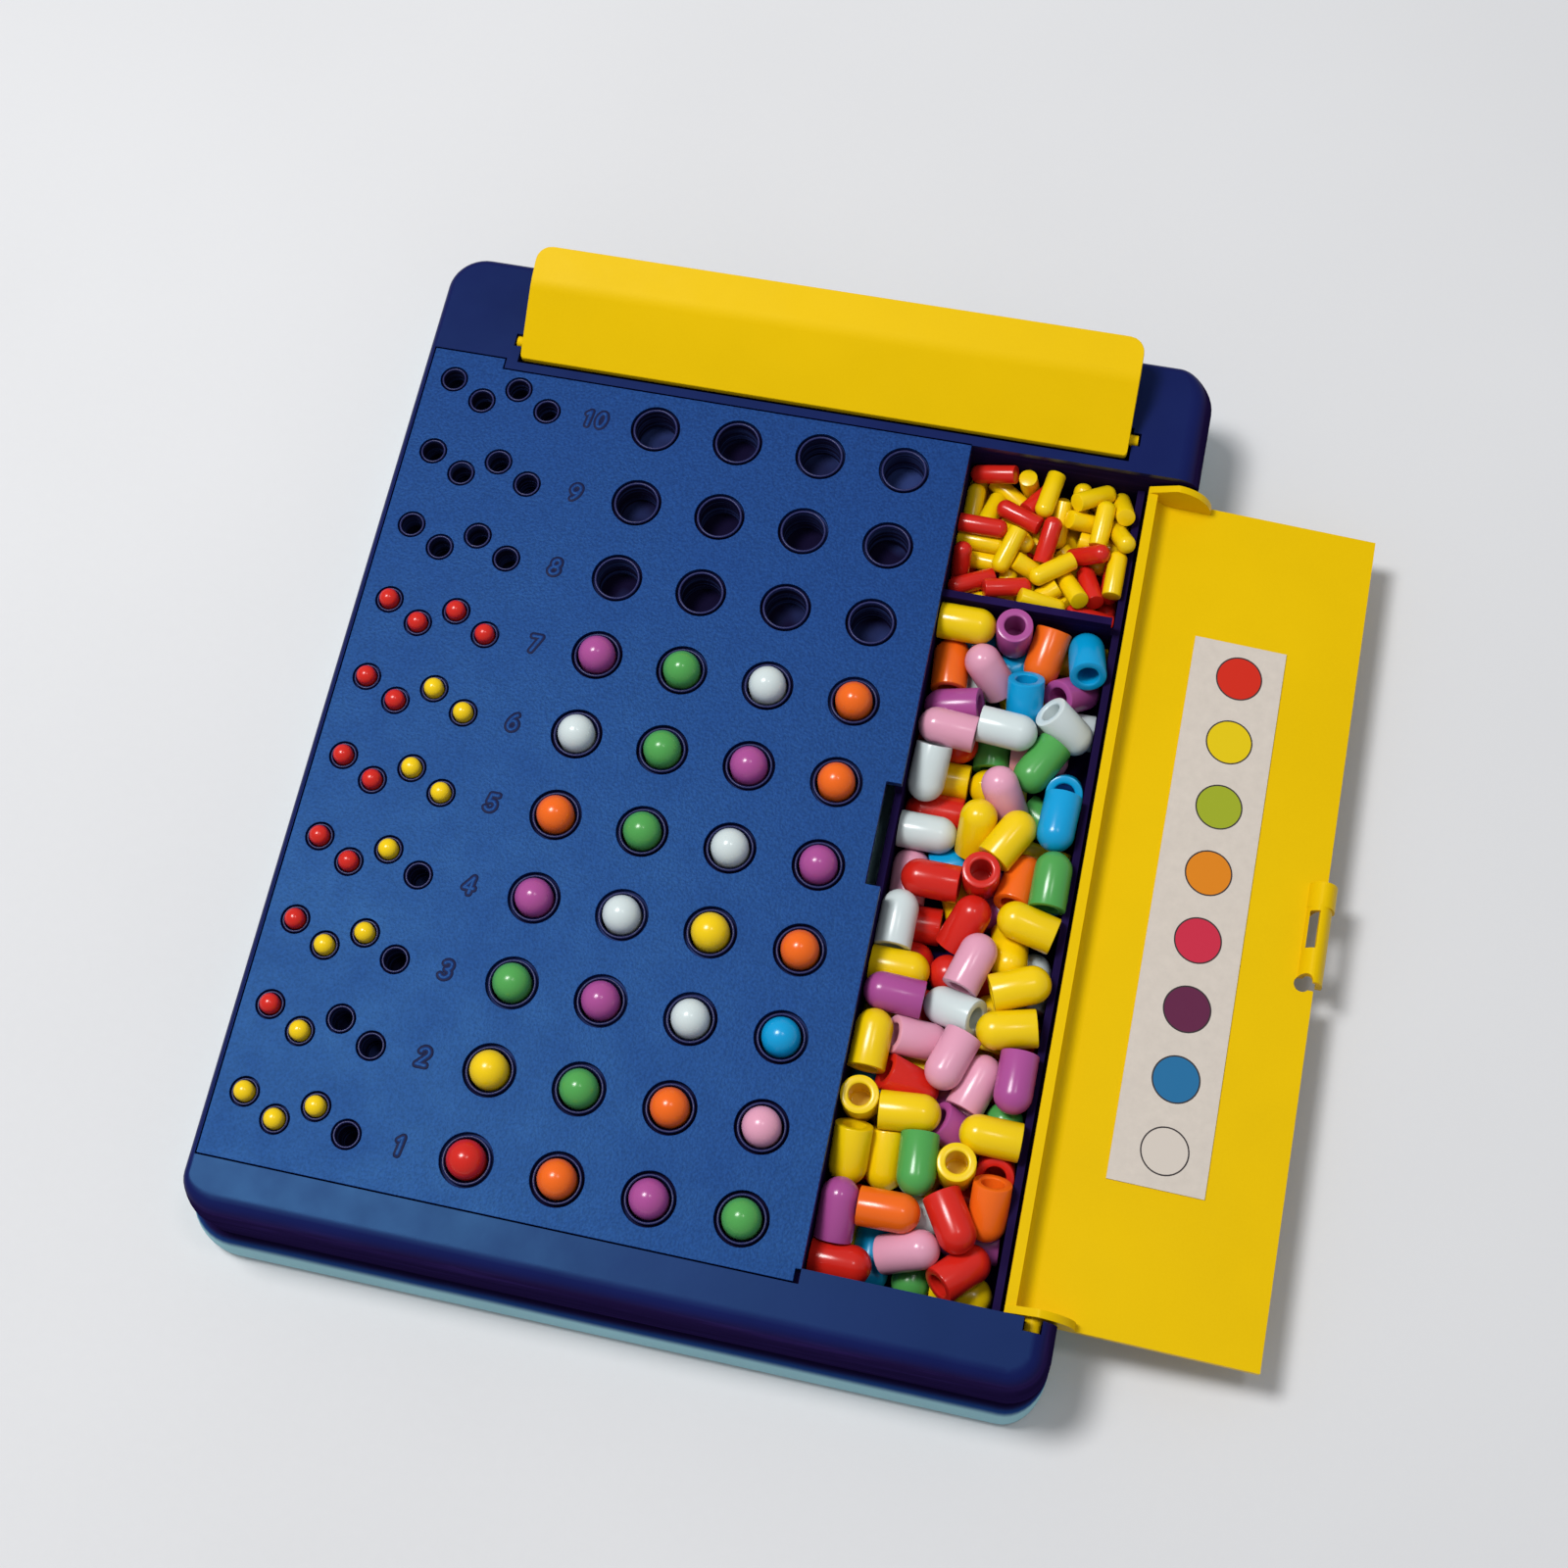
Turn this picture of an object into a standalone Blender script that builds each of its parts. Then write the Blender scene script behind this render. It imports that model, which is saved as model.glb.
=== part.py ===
"""Code breaking peg game: a travel-size peg board with a storage lid and a flip-up code shield.

Metres, +Z up. The origin is at table height under the centre of the tray. +X points to the storage
side, +Y away from the code breaker, who sits at the front. The board is shown as in play: pegs in rows
one to seven, the code shield down and the storage lid turned right over to the side.
"""

import bmesh
import bpy
from math import asin, cos, pi, radians, sin, sqrt, tan

# Housing, made of a tray and a bottom cover
HOUSING_HEIGHT = 0.0260
TRAY_SIDE_HEIGHT = 0.0147
COVER_FRONT_REACH = 0.0029
COVER_LEFT_REACH = 0.0032
COVER_EDGE_RADIUS = 0.0012
COVER_FLOOR = 0.0020
HOUSING_WALL = 0.0020
CORNER_RADIUS = 0.0080
TOP_EDGE_RADIUS = 0.0050
PANEL_SIDE_EDGE_RADIUS = 0.0016
DECK_THICKNESS = 0.0043
FRONT_STRIP = 0.0118
REAR_DECK = 0.0238
SEAM_GAP = 0.0003

# Peg grid, with one row of code sockets and a cluster of key sockets for each guess
ROW_COUNT = 10
COLUMN_COUNT = 4
KEY_COUNT = 4
ROW_PITCH = 0.0176
COLUMN_PITCH = 0.0180
FIRST_ROW_INSET = 0.0092
LAST_ROW_INSET = 0.0108
LAST_COLUMN_INSET = 0.0129
KEY_PITCH_X = 0.0073
KEY_PITCH_Y = 0.0040
KEY_CLUSTER_INSET = 0.0059
KEY_TO_CODE = 0.0241

# Code pegs and their sockets
CODE_PEG_RADIUS = 0.00395
CODE_PEG_LENGTH = 0.0120
CODE_PEG_BORE = 0.0022
CODE_PEG_BORE_DEPTH = 0.0075
CODE_PEG_CLEARANCE = 0.00055
SOCKET_DEPTH = 0.0080
SOCKET_FLOOR = 0.0010
CODE_CUP_WALL = 0.0009

# Key pegs and their sockets
KEY_PEG_RADIUS = 0.0020
KEY_PEG_LENGTH = 0.0103
KEY_PEG_CLEARANCE = 0.00035
KEY_CUP_WALL = 0.0007
PEG_SEAT_GAP = 0.0003

# Peg panel
PANEL_THICKNESS = 0.0020
PANEL_LEFT_INSET = 0.0016
PANEL_REAR_STEP = 0.0025
PANEL_REAR_STEP_AT = 0.0157
PANEL_CORNER_NOTCH_X = 0.0011
PANEL_CORNER_NOTCH_Y = 0.0024
PANEL_SEAT = 0.0025
RAIL_SEAT = 0.0008

# Storage wells beside the panel
WELL_WIDTH = 0.0357
WELL_FRONT_SETBACK = 0.0026
WELL_FOOT_GAP = 0.0015
WELL_WALL = 0.0015
KEY_WELL_LENGTH = 0.0321
DIVIDER_THICKNESS = 0.0016
DIVIDER_DROP = 0.0031
INNER_WALL_DROP = 0.0061
HINGE_BLOCK = 0.0060
HINGE_CHANNEL = 0.0109

# Storage lid, which turns a little over half way round on two pins and slopes down where it lies open
LID_THICKNESS = 0.0020
LID_EDGE_RADIUS = 0.0060
LID_FLANGE_HEIGHT = 0.0068
LID_FLANGE_OFFSET = 0.0057
LID_DROOP = 0.0040
LID_END_CLEARANCE = 0.0006
LID_EDGE_CLEARANCE = 0.0004
LID_HINGE_INSET = 0.0045
LID_HINGE_DROP = 0.0059
LID_REST_GAP = 0.0003
LID_PIN_RADIUS = 0.0013
LID_PIN_ENGAGEMENT = 0.0022
LID_EAR_THICKNESS = 0.0018
LID_EAR_REACH = 0.0086
LID_EAR_RISE = 0.0019
PIN_CLEARANCE = 0.0003

# Latch on the free edge of the lid
LATCH_LENGTH = 0.0206
LATCH_WIDTH = 0.0048
LATCH_HEIGHT = 0.0032
LATCH_OVERHANG = 0.0022
LATCH_BASE_RISE = 0.0004
LATCH_OFFSET = 0.0008
LATCH_SLOT_WIDTH = 0.0015
LATCH_SLOT_LENGTH = 0.0077
LATCH_SLOT_INSET = 0.0017
LATCH_SLOT_SETBACK = 0.0060
LATCH_CLEARANCE = 0.0005
LATCH_RECESS = 0.0031
LATCH_POCKET_CLEARANCE = 0.0008

# Colour strip stuck to the inside of the lid
STRIP_WIDTH = 0.0190
STRIP_LENGTH = 0.1136
STRIP_THICKNESS = 0.0004
STRIP_OFFSET = 0.0093
STRIP_GAP = 0.0003

# Code shield, which flips up on two pins, over a row of sockets for the secret code
SHIELD_LEFT_INSET = 0.0206
SHIELD_RIGHT_INSET = 0.0159
SHIELD_THICKNESS = 0.0016
SHIELD_PIVOT_SETBACK = 0.0053
SHIELD_PIVOT_DROP = 0.0008
SHIELD_FRONT_REACH = 0.0046
SHIELD_FOLD_REACH = 0.0098
SHIELD_REAR_REACH = 0.0182
SHIELD_FRONT_HEIGHT = 0.0009
SHIELD_FOLD_HEIGHT = 0.0090
SHIELD_REAR_HEIGHT = 0.0108
SHIELD_FOOT_GAP = 0.0003
SHIELD_END_CLEARANCE = 0.0006
SHIELD_PIN_RADIUS = 0.0012
SHIELD_PIN_LENGTH = 0.0020
SHIELD_BOSS_RADIUS = 0.0020
TROUGH_SETBACK = 0.0022
TROUGH_DEPTH = 0.0072
TROUGH_REAR_REACH = 0.0026
TROUGH_FLOOR = 0.0016
SECRET_ROW_SETBACK = 0.0087

# How far a cutter runs past the face it opens, and how far joined blocks sink into each other
OVERRUN = 0.0010

# Facets
CORNER_STEPS = 6
EDGE_STEPS = 5
CODE_SIDES = 12
CODE_DOME_STEPS = 3
KEY_SIDES = 8
KEY_DOME_STEPS = 2
PIN_SIDES = 12

# Which peg stands in which socket, row one first, left to right
CODE_ROWS = (
    ("red", "orange", "purple", "green"),
    ("yellow", "green", "orange", "pink"),
    ("green", "purple", "white", "blue"),
    ("purple", "white", "yellow", "orange"),
    ("orange", "green", "white", "purple"),
    ("white", "green", "purple", "orange"),
    ("purple", "green", "white", "orange"),
)
KEY_ROWS = (
    ("yellow", "yellow", "yellow"),
    ("red", "yellow"),
    ("red", "yellow", "yellow"),
    ("red", "red", "yellow"),
    ("red", "red", "yellow", "yellow"),
    ("red", "red", "yellow", "yellow"),
    ("red", "red", "red", "red"),
)

# Colours, linear, with roughness
FINISHES = {
    "panel_blue": ((0.020, 0.085, 0.330), 0.42),
    "tray_navy": ((0.012, 0.030, 0.170), 0.30),
    "cover_light_blue": ((0.230, 0.520, 0.680), 0.32),
    "yellow": ((0.840, 0.600, 0.004), 0.34),
    "strip_paper": ((0.690, 0.640, 0.620), 0.60),
    "peg_red": ((0.620, 0.020, 0.012), 0.22),
    "peg_orange": ((0.830, 0.130, 0.008), 0.22),
    "peg_yellow": ((0.920, 0.600, 0.010), 0.22),
    "peg_green": ((0.045, 0.330, 0.075), 0.22),
    "peg_blue": ((0.008, 0.270, 0.640), 0.22),
    "peg_purple": ((0.330, 0.035, 0.240), 0.22),
    "peg_pink": ((0.760, 0.290, 0.470), 0.22),
    "peg_white": ((0.800, 0.850, 0.860), 0.22),
}

# Sizes and places that follow
KEY_CLUSTER_WIDTH = (KEY_COUNT - 1) * KEY_PITCH_X
CODE_GRID_WIDTH = (COLUMN_COUNT - 1) * COLUMN_PITCH
CODE_GRID_LENGTH = (ROW_COUNT - 1) * ROW_PITCH
PANEL_WIDTH = KEY_CLUSTER_INSET + KEY_CLUSTER_WIDTH + KEY_TO_CODE + CODE_GRID_WIDTH + LAST_COLUMN_INSET
PANEL_LENGTH = FIRST_ROW_INSET + CODE_GRID_LENGTH + LAST_ROW_INSET
TRAY_WIDTH = PANEL_LEFT_INSET + PANEL_WIDTH + WELL_WIDTH + WELL_WALL + HINGE_CHANNEL
TRAY_LENGTH = FRONT_STRIP + PANEL_LENGTH + REAR_DECK
LEFT = -TRAY_WIDTH / 2
RIGHT = TRAY_WIDTH / 2
FRONT = -TRAY_LENGTH / 2
REAR = TRAY_LENGTH / 2
TOP = HOUSING_HEIGHT
SPLIT = TOP - TRAY_SIDE_HEIGHT
COVER_HEIGHT = SPLIT - SEAM_GAP
CEILING = TOP - DECK_THICKNESS
SEAT = TOP - PANEL_THICKNESS - SEAM_GAP
PANEL_LEFT = LEFT + PANEL_LEFT_INSET
PANEL_RIGHT = PANEL_LEFT + PANEL_WIDTH
PANEL_FRONT = FRONT + FRONT_STRIP
PANEL_REAR = PANEL_FRONT + PANEL_LENGTH
PANEL_SHORT_REAR = PANEL_REAR - PANEL_REAR_STEP
FIRST_KEY_X = PANEL_LEFT + KEY_CLUSTER_INSET
FIRST_COLUMN_X = FIRST_KEY_X + KEY_CLUSTER_WIDTH + KEY_TO_CODE
FIRST_ROW_Y = PANEL_FRONT + FIRST_ROW_INSET
CODE_SOCKET_RADIUS = CODE_PEG_RADIUS + CODE_PEG_CLEARANCE
KEY_SOCKET_RADIUS = KEY_PEG_RADIUS + KEY_PEG_CLEARANCE
WELL_LEFT = PANEL_RIGHT
WELL_RIGHT = WELL_LEFT + WELL_WIDTH
WELL_FRONT = PANEL_FRONT + WELL_FRONT_SETBACK
WELL_REAR = PANEL_SHORT_REAR
WELL_FLOOR = COVER_FLOOR + WELL_FOOT_GAP + WELL_WALL
DIVIDER_REAR = WELL_REAR - KEY_WELL_LENGTH
DIVIDER_FRONT = DIVIDER_REAR - DIVIDER_THICKNESS
CHANNEL_LEFT = WELL_RIGHT + WELL_WALL
HINGE_X = RIGHT - LID_HINGE_INSET
HINGE_Z = TOP - LID_HINGE_DROP
LID_FRONT = WELL_FRONT + LID_END_CLEARANCE
LID_REAR = WELL_REAR - LID_END_CLEARANCE
LID_MIDDLE = (LID_FRONT + LID_REAR) / 2
LID_CLOSED_EDGE_X = PANEL_RIGHT + LID_EDGE_CLEARANCE
LID_FREE_EDGE = HINGE_X - LID_CLOSED_EDGE_X
LID_TILT = asin(LID_DROOP / LID_FREE_EDGE)
LEDGE_DROP = LID_HINGE_DROP / cos(LID_TILT) + LID_HINGE_INSET * tan(LID_TILT)
LEDGE_TOP = HINGE_Z - LEDGE_DROP - LID_REST_GAP
LATCH_FRONT = LID_MIDDLE - LATCH_OFFSET - LATCH_LENGTH / 2
LATCH_REAR = LATCH_FRONT + LATCH_LENGTH
TROUGH_FRONT = PANEL_SHORT_REAR + TROUGH_SETBACK
PIVOT_Y = TROUGH_FRONT + SHIELD_PIVOT_SETBACK
PIVOT_Z = TOP - SHIELD_PIVOT_DROP
TROUGH_REAR = PIVOT_Y + TROUGH_REAR_REACH
SHIELD_LEFT = LEFT + SHIELD_LEFT_INSET
SHIELD_RIGHT = RIGHT - SHIELD_RIGHT_INSET
SHIELD_WIDTH = SHIELD_RIGHT - SHIELD_LEFT
TROUGH_LEFT = SHIELD_LEFT - SHIELD_END_CLEARANCE
TROUGH_RIGHT = SHIELD_RIGHT + SHIELD_END_CLEARANCE
SECRET_ROW_Y = PIVOT_Y + SECRET_ROW_SETBACK


def clear_scene():
    for item in list(bpy.data.objects):
        bpy.data.objects.remove(item, do_unlink=True)


def finish(name):
    """The material of a given name, made on first use."""
    found = bpy.data.materials.get(name)
    if found:
        return found
    colour, roughness = FINISHES[name]
    made = bpy.data.materials.new(name)
    made.use_nodes = True
    shader = made.node_tree.nodes["Principled BSDF"]
    shader.inputs["Base Color"].default_value = (*colour, 1)
    shader.inputs["Roughness"].default_value = roughness
    shader.inputs["Metallic"].default_value = 0
    made.diffuse_color = (*colour, 1)
    return made


def place(name, mesh, location=(0, 0, 0), tilt=0):
    """Adds an object that holds the mesh, with its +X side tilted down about its own origin."""
    item = bpy.data.objects.new(name, mesh)
    item.location = location
    item.rotation_euler = (0, tilt, 0)
    bpy.context.collection.objects.link(item)
    return item


def solid_mesh(name, rings, capped=True):
    """A closed mesh through rings of points, each ring seen anticlockwise from the side it faces last."""
    mesh = bpy.data.meshes.new(name)
    bm = bmesh.new()
    loops = [[bm.verts.new(point) for point in ring] for ring in rings]
    for lower, upper in zip(loops, loops[1:]):
        count = len(lower)
        for i in range(count):
            j = (i + 1) % count
            bm.faces.new((lower[i], lower[j], upper[j], upper[i]))
    if capped:
        bm.faces.new(reversed(loops[0]))
        bm.faces.new(loops[-1])
    bmesh.ops.recalc_face_normals(bm, faces=bm.faces)
    bm.to_mesh(mesh)
    bm.free()
    return mesh


def box_mesh(name, low, high):
    """A box between two corners."""
    x0, y0, z0 = low
    x1, y1, z1 = high
    outline = ((x0, y0), (x1, y0), (x1, y1), (x0, y1))
    return solid_mesh(name, [[(x, y, z) for x, y in outline] for z in (z0, z1)])


def extrude_x(name, outline, x0, x1):
    """A prism along X, whose outline is given in Y and Z."""
    return solid_mesh(name, [[(x, y, z) for y, z in outline] for x in (x0, x1)])


def extrude_y(name, outline, y0, y1):
    """A prism along Y, whose outline is given in X and Z."""
    return solid_mesh(name, [[(x, y, z) for x, z in outline] for y in (y0, y1)])


def ellipse(centre, radii, start, end, steps):
    """Points along an ellipse between two angles in degrees, both ends included."""
    points = []
    for i in range(steps + 1):
        angle = radians(start + (end - start) * i / steps)
        points.append((centre[0] + radii[0] * cos(angle), centre[1] + radii[1] * sin(angle)))
    return points


def plan_ring(z, left, right, front, rear):
    """The housing's outline at a height, each side moved inwards by its own inset, with round corners."""
    smallest = CORNER_RADIUS / (CORNER_STEPS * 2)
    corners = (
        (1, -1, right, front, -90),
        (1, 1, right, rear, 0),
        (-1, 1, left, rear, 90),
        (-1, -1, left, front, 180),
    )
    points = []
    for side_x, side_y, inset_x, inset_y, start in corners:
        radius_x = max(CORNER_RADIUS - inset_x, smallest)
        radius_y = max(CORNER_RADIUS - inset_y, smallest)
        centre_x = side_x * (RIGHT - inset_x - radius_x)
        centre_y = side_y * (REAR - inset_y - radius_y)
        points += ellipse((centre_x, centre_y), (radius_x, radius_y), start, start + 90, CORNER_STEPS)
    return [(x, y, z) for x, y in points]


def even_ring(z, inset):
    """The housing's outline at a height, all four sides moved inwards alike."""
    return plan_ring(z, inset, inset, inset, inset)


def circle(radius, sides):
    """Points of a circle, turned so that a flat side faces +X."""
    return [
        (radius * cos(2 * pi * (i + 0.5) / sides), radius * sin(2 * pi * (i + 0.5) / sides))
        for i in range(sides)
    ]


def cylinders_mesh(name, groups, z0, z1):
    """Upright cylinders in one mesh. Each group is a radius, a number of sides and a list of centres."""
    mesh = bpy.data.meshes.new(name)
    bm = bmesh.new()
    for radius, sides, centres in groups:
        for cx, cy in centres:
            rings = [
                [bm.verts.new((cx + x, cy + y, z)) for x, y in circle(radius, sides)] for z in (z0, z1)
            ]
            for i in range(sides):
                j = (i + 1) % sides
                bm.faces.new((rings[0][i], rings[0][j], rings[1][j], rings[1][i]))
            bm.faces.new(reversed(rings[0]))
            bm.faces.new(rings[1])
    bm.to_mesh(mesh)
    bm.free()
    return mesh


def combine(target, operation, mesh):
    """Joins a mesh to the target or cuts it away, with a Boolean modifier and a hidden tool object."""
    tool = place(mesh.name, mesh, target.location, target.rotation_euler.y)
    tool.hide_render = True
    tool.display_type = "WIRE"
    change = target.modifiers.new(mesh.name, "BOOLEAN")
    change.operation = operation
    change.solver = "EXACT"
    change.object = tool


def join(target, mesh):
    combine(target, "UNION", mesh)


def cut(target, mesh):
    combine(target, "DIFFERENCE", mesh)


def shade_round(item, angle=40):
    """Smooth shading with sharp edges where faces meet at more than the angle."""
    item.data.shade_smooth()
    item.data.set_sharp_from_angle(angle=radians(angle))


def code_centres():
    """Centres of the code sockets, row by row."""
    columns = [FIRST_COLUMN_X + i * COLUMN_PITCH for i in range(COLUMN_COUNT)]
    return [[(x, FIRST_ROW_Y + i * ROW_PITCH) for x in columns] for i in range(ROW_COUNT)]


def key_centres():
    """Centres of the key sockets, row by row: a zigzag of four, the first and third set back."""
    cluster = [(FIRST_KEY_X + i * KEY_PITCH_X, KEY_PITCH_Y * ((i + 1) % 2)) for i in range(KEY_COUNT)]
    return [[(x, FIRST_ROW_Y + i * ROW_PITCH + y) for x, y in cluster] for i in range(ROW_COUNT)]


def secret_centres():
    return [(FIRST_COLUMN_X + column * COLUMN_PITCH, SECRET_ROW_Y) for column in range(COLUMN_COUNT)]


def flat(rows):
    return [centre for row in rows for centre in row]


def make_bottom_cover():
    """An open dish whose front and left side bulge out towards the table."""
    outer = []
    for i in range(EDGE_STEPS):
        angle = radians(90 * i / EDGE_STEPS)
        inset = COVER_EDGE_RADIUS * (1 - sin(angle))
        z = COVER_EDGE_RADIUS * (1 - cos(angle))
        outer.append(plan_ring(z, inset - COVER_LEFT_REACH, inset, inset - COVER_FRONT_REACH, inset))
    side_height = COVER_HEIGHT - COVER_EDGE_RADIUS
    for i in range(EDGE_STEPS + 1):
        angle = radians(90 * i / EDGE_STEPS)
        z = COVER_EDGE_RADIUS + side_height * sin(angle)
        outer.append(plan_ring(z, -COVER_LEFT_REACH * cos(angle), 0, -COVER_FRONT_REACH * cos(angle), 0))
    inner = [even_ring(COVER_HEIGHT, HOUSING_WALL), even_ring(COVER_FLOOR, HOUSING_WALL)]
    cover = place("bottom_cover", solid_mesh("bottom_cover", outer + inner))
    cover.data.materials.append(finish("cover_light_blue"))
    shade_round(cover)


def edge_inset(radius, z):
    """How far a rounded top edge has drawn in at a height."""
    rise = min(max(z - (TOP - radius), 0), radius)
    return radius - sqrt(radius**2 - rise**2)


def tray_shell():
    """The outer shell of the tray, open underneath: its top edges are rounder in front and at the hinges."""
    rings = [even_ring(CEILING, HOUSING_WALL), even_ring(SPLIT, HOUSING_WALL), even_ring(SPLIT, 0)]
    for i in range(EDGE_STEPS + 1):
        z = TOP - TOP_EDGE_RADIUS * (1 - sin(radians(90 * i / EDGE_STEPS)))
        wide = edge_inset(TOP_EDGE_RADIUS, z)
        narrow = edge_inset(PANEL_SIDE_EDGE_RADIUS, z)
        rings.append(plan_ring(z, narrow, wide, wide, narrow))
    return place("base_tray", solid_mesh("base_tray", rings))


def add_storage(tray):
    """The tub of the wells, the ledge that the open lid lies on, and the blocks that carry its pins."""
    tub_floor = WELL_FLOOR - WELL_WALL
    under_deck = CEILING + OVERRUN
    join(
        tray,
        box_mesh(
            "well_tub",
            (WELL_LEFT - WELL_WALL, WELL_FRONT - WELL_WALL, tub_floor),
            (CHANNEL_LEFT, WELL_REAR + WELL_WALL, under_deck),
        ),
    )
    ledge_right = RIGHT - HOUSING_WALL / 2
    join(
        tray,
        box_mesh(
            "lid_ledge",
            (CHANNEL_LEFT - OVERRUN, WELL_FRONT - HOUSING_WALL, LEDGE_TOP - HOUSING_WALL),
            (ledge_right, WELL_REAR + HOUSING_WALL, LEDGE_TOP),
        ),
    )
    blocks = (
        ("front_hinge_block", WELL_FRONT - HINGE_BLOCK, WELL_FRONT),
        ("rear_hinge_block", WELL_REAR, WELL_REAR + HINGE_BLOCK),
    )
    for name, y0, y1 in blocks:
        join(
            tray,
            box_mesh(
                name,
                (CHANNEL_LEFT - WELL_WALL, y0, LEDGE_TOP - HOUSING_WALL),
                (ledge_right, y1, under_deck),
            ),
        )


def cut_storage(tray):
    """The two wells, and the room for the lid."""
    above = TOP + OVERRUN
    cut(tray, box_mesh("code_well", (WELL_LEFT, WELL_FRONT, WELL_FLOOR), (WELL_RIGHT, DIVIDER_FRONT, above)))
    cut(tray, box_mesh("key_well", (WELL_LEFT, DIVIDER_REAR, WELL_FLOOR), (WELL_RIGHT, WELL_REAR, above)))
    cut(
        tray,
        box_mesh(
            "divider_top",
            (WELL_LEFT, DIVIDER_FRONT - OVERRUN, TOP - DIVIDER_DROP),
            (WELL_RIGHT, DIVIDER_REAR + OVERRUN, above),
        ),
    )
    cut(
        tray,
        box_mesh(
            "inner_wall_top",
            (WELL_RIGHT - OVERRUN, WELL_FRONT, TOP - INNER_WALL_DROP),
            (CHANNEL_LEFT + OVERRUN, WELL_REAR, above),
        ),
    )
    outside = RIGHT + OVERRUN
    cut(tray, box_mesh("lid_channel", (CHANNEL_LEFT, WELL_FRONT, LEDGE_TOP), (outside, WELL_REAR, above)))


def pin_slot_outline(centre, radius, top):
    """A slot with a round bottom, open at the top, in the plane across the pin."""
    x, z = centre
    bottom = ellipse(centre, (radius, radius), 180, 360, PIN_SIDES // 2)
    return [(x - radius, top)] + bottom + [(x + radius, top)]


def add_pin_slots(tray):
    """Open slots that the lid's and the shield's pins turn in."""
    lid_slot = pin_slot_outline((HINGE_X, HINGE_Z), LID_PIN_RADIUS + PIN_CLEARANCE, TOP + OVERRUN)
    depth = LID_PIN_ENGAGEMENT + PIN_CLEARANCE
    cut(tray, extrude_y("front_lid_slot", lid_slot, WELL_FRONT - depth, WELL_FRONT + OVERRUN))
    cut(tray, extrude_y("rear_lid_slot", lid_slot, WELL_REAR - OVERRUN, WELL_REAR + depth))
    shield_slot = pin_slot_outline((PIVOT_Y, PIVOT_Z), SHIELD_PIN_RADIUS + PIN_CLEARANCE, TOP + OVERRUN)
    depth = SHIELD_PIN_LENGTH + PIN_CLEARANCE
    cut(tray, extrude_x("left_shield_slot", shield_slot, SHIELD_LEFT - depth, TROUGH_LEFT + OVERRUN))
    cut(tray, extrude_x("right_shield_slot", shield_slot, TROUGH_RIGHT - OVERRUN, SHIELD_RIGHT + depth))


def add_shield_bed(tray):
    """The trough that the front of the shield dips into, and the secret sockets behind it."""
    wall = TROUGH_FLOOR
    trough_bottom = TOP - TROUGH_DEPTH
    block_front = PANEL_SHORT_REAR - RAIL_SEAT
    join(
        tray,
        box_mesh(
            "trough_block",
            (TROUGH_LEFT - wall - SHIELD_PIN_LENGTH, block_front, trough_bottom - wall),
            (TROUGH_RIGHT + wall + SHIELD_PIN_LENGTH, TROUGH_REAR + wall, CEILING + OVERRUN),
        ),
    )
    cup_radius = CODE_SOCKET_RADIUS + CODE_CUP_WALL
    cup_bottom = TOP - SOCKET_DEPTH - SOCKET_FLOOR
    join(
        tray,
        cylinders_mesh(
            "secret_cups",
            [(cup_radius, CODE_SIDES, secret_centres())],
            cup_bottom,
            CEILING + OVERRUN,
        ),
    )
    cut(
        tray,
        box_mesh(
            "shield_trough",
            (TROUGH_LEFT, TROUGH_FRONT, trough_bottom),
            (TROUGH_RIGHT, TROUGH_REAR, TOP + OVERRUN),
        ),
    )
    cut(
        tray,
        cylinders_mesh(
            "secret_sockets",
            [(CODE_SOCKET_RADIUS, CODE_SIDES, secret_centres())],
            TOP - SOCKET_DEPTH,
            TOP + OVERRUN,
        ),
    )


def add_panel_seat(tray):
    """The recess that the panel drops into, and the hole under its sockets."""
    step_x = PANEL_LEFT + PANEL_REAR_STEP_AT
    front = PANEL_FRONT - SEAM_GAP
    left = PANEL_LEFT - SEAM_GAP
    rear = PANEL_SHORT_REAR + SEAM_GAP
    cut(tray, box_mesh("panel_recess", (left, front, SEAT), (PANEL_RIGHT, rear, TOP + OVERRUN)))
    cut(
        tray,
        box_mesh(
            "panel_recess_step",
            (left, PANEL_SHORT_REAR, SEAT),
            (step_x + SEAM_GAP, PANEL_REAR + SEAM_GAP, TOP + OVERRUN),
        ),
    )
    cut(
        tray,
        box_mesh(
            "panel_opening",
            (PANEL_LEFT + PANEL_SEAT, PANEL_FRONT + PANEL_SEAT, CEILING - OVERRUN),
            (WELL_LEFT - WELL_WALL, PANEL_SHORT_REAR - RAIL_SEAT, TOP + OVERRUN),
        ),
    )
    pocket_depth = LID_THICKNESS + LATCH_HEIGHT + LATCH_POCKET_CLEARANCE
    cut(
        tray,
        box_mesh(
            "latch_pocket",
            (WELL_LEFT - WELL_WALL - OVERRUN, LATCH_FRONT - LATCH_CLEARANCE, TOP - pocket_depth),
            (WELL_LEFT + OVERRUN, LATCH_REAR + LATCH_CLEARANCE, TOP + OVERRUN),
        ),
    )


def make_tray():
    tray = tray_shell()
    add_storage(tray)
    add_shield_bed(tray)
    cut_storage(tray)
    add_panel_seat(tray)
    add_pin_slots(tray)
    tray.data.materials.append(finish("tray_navy"))
    shade_round(tray)


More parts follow.
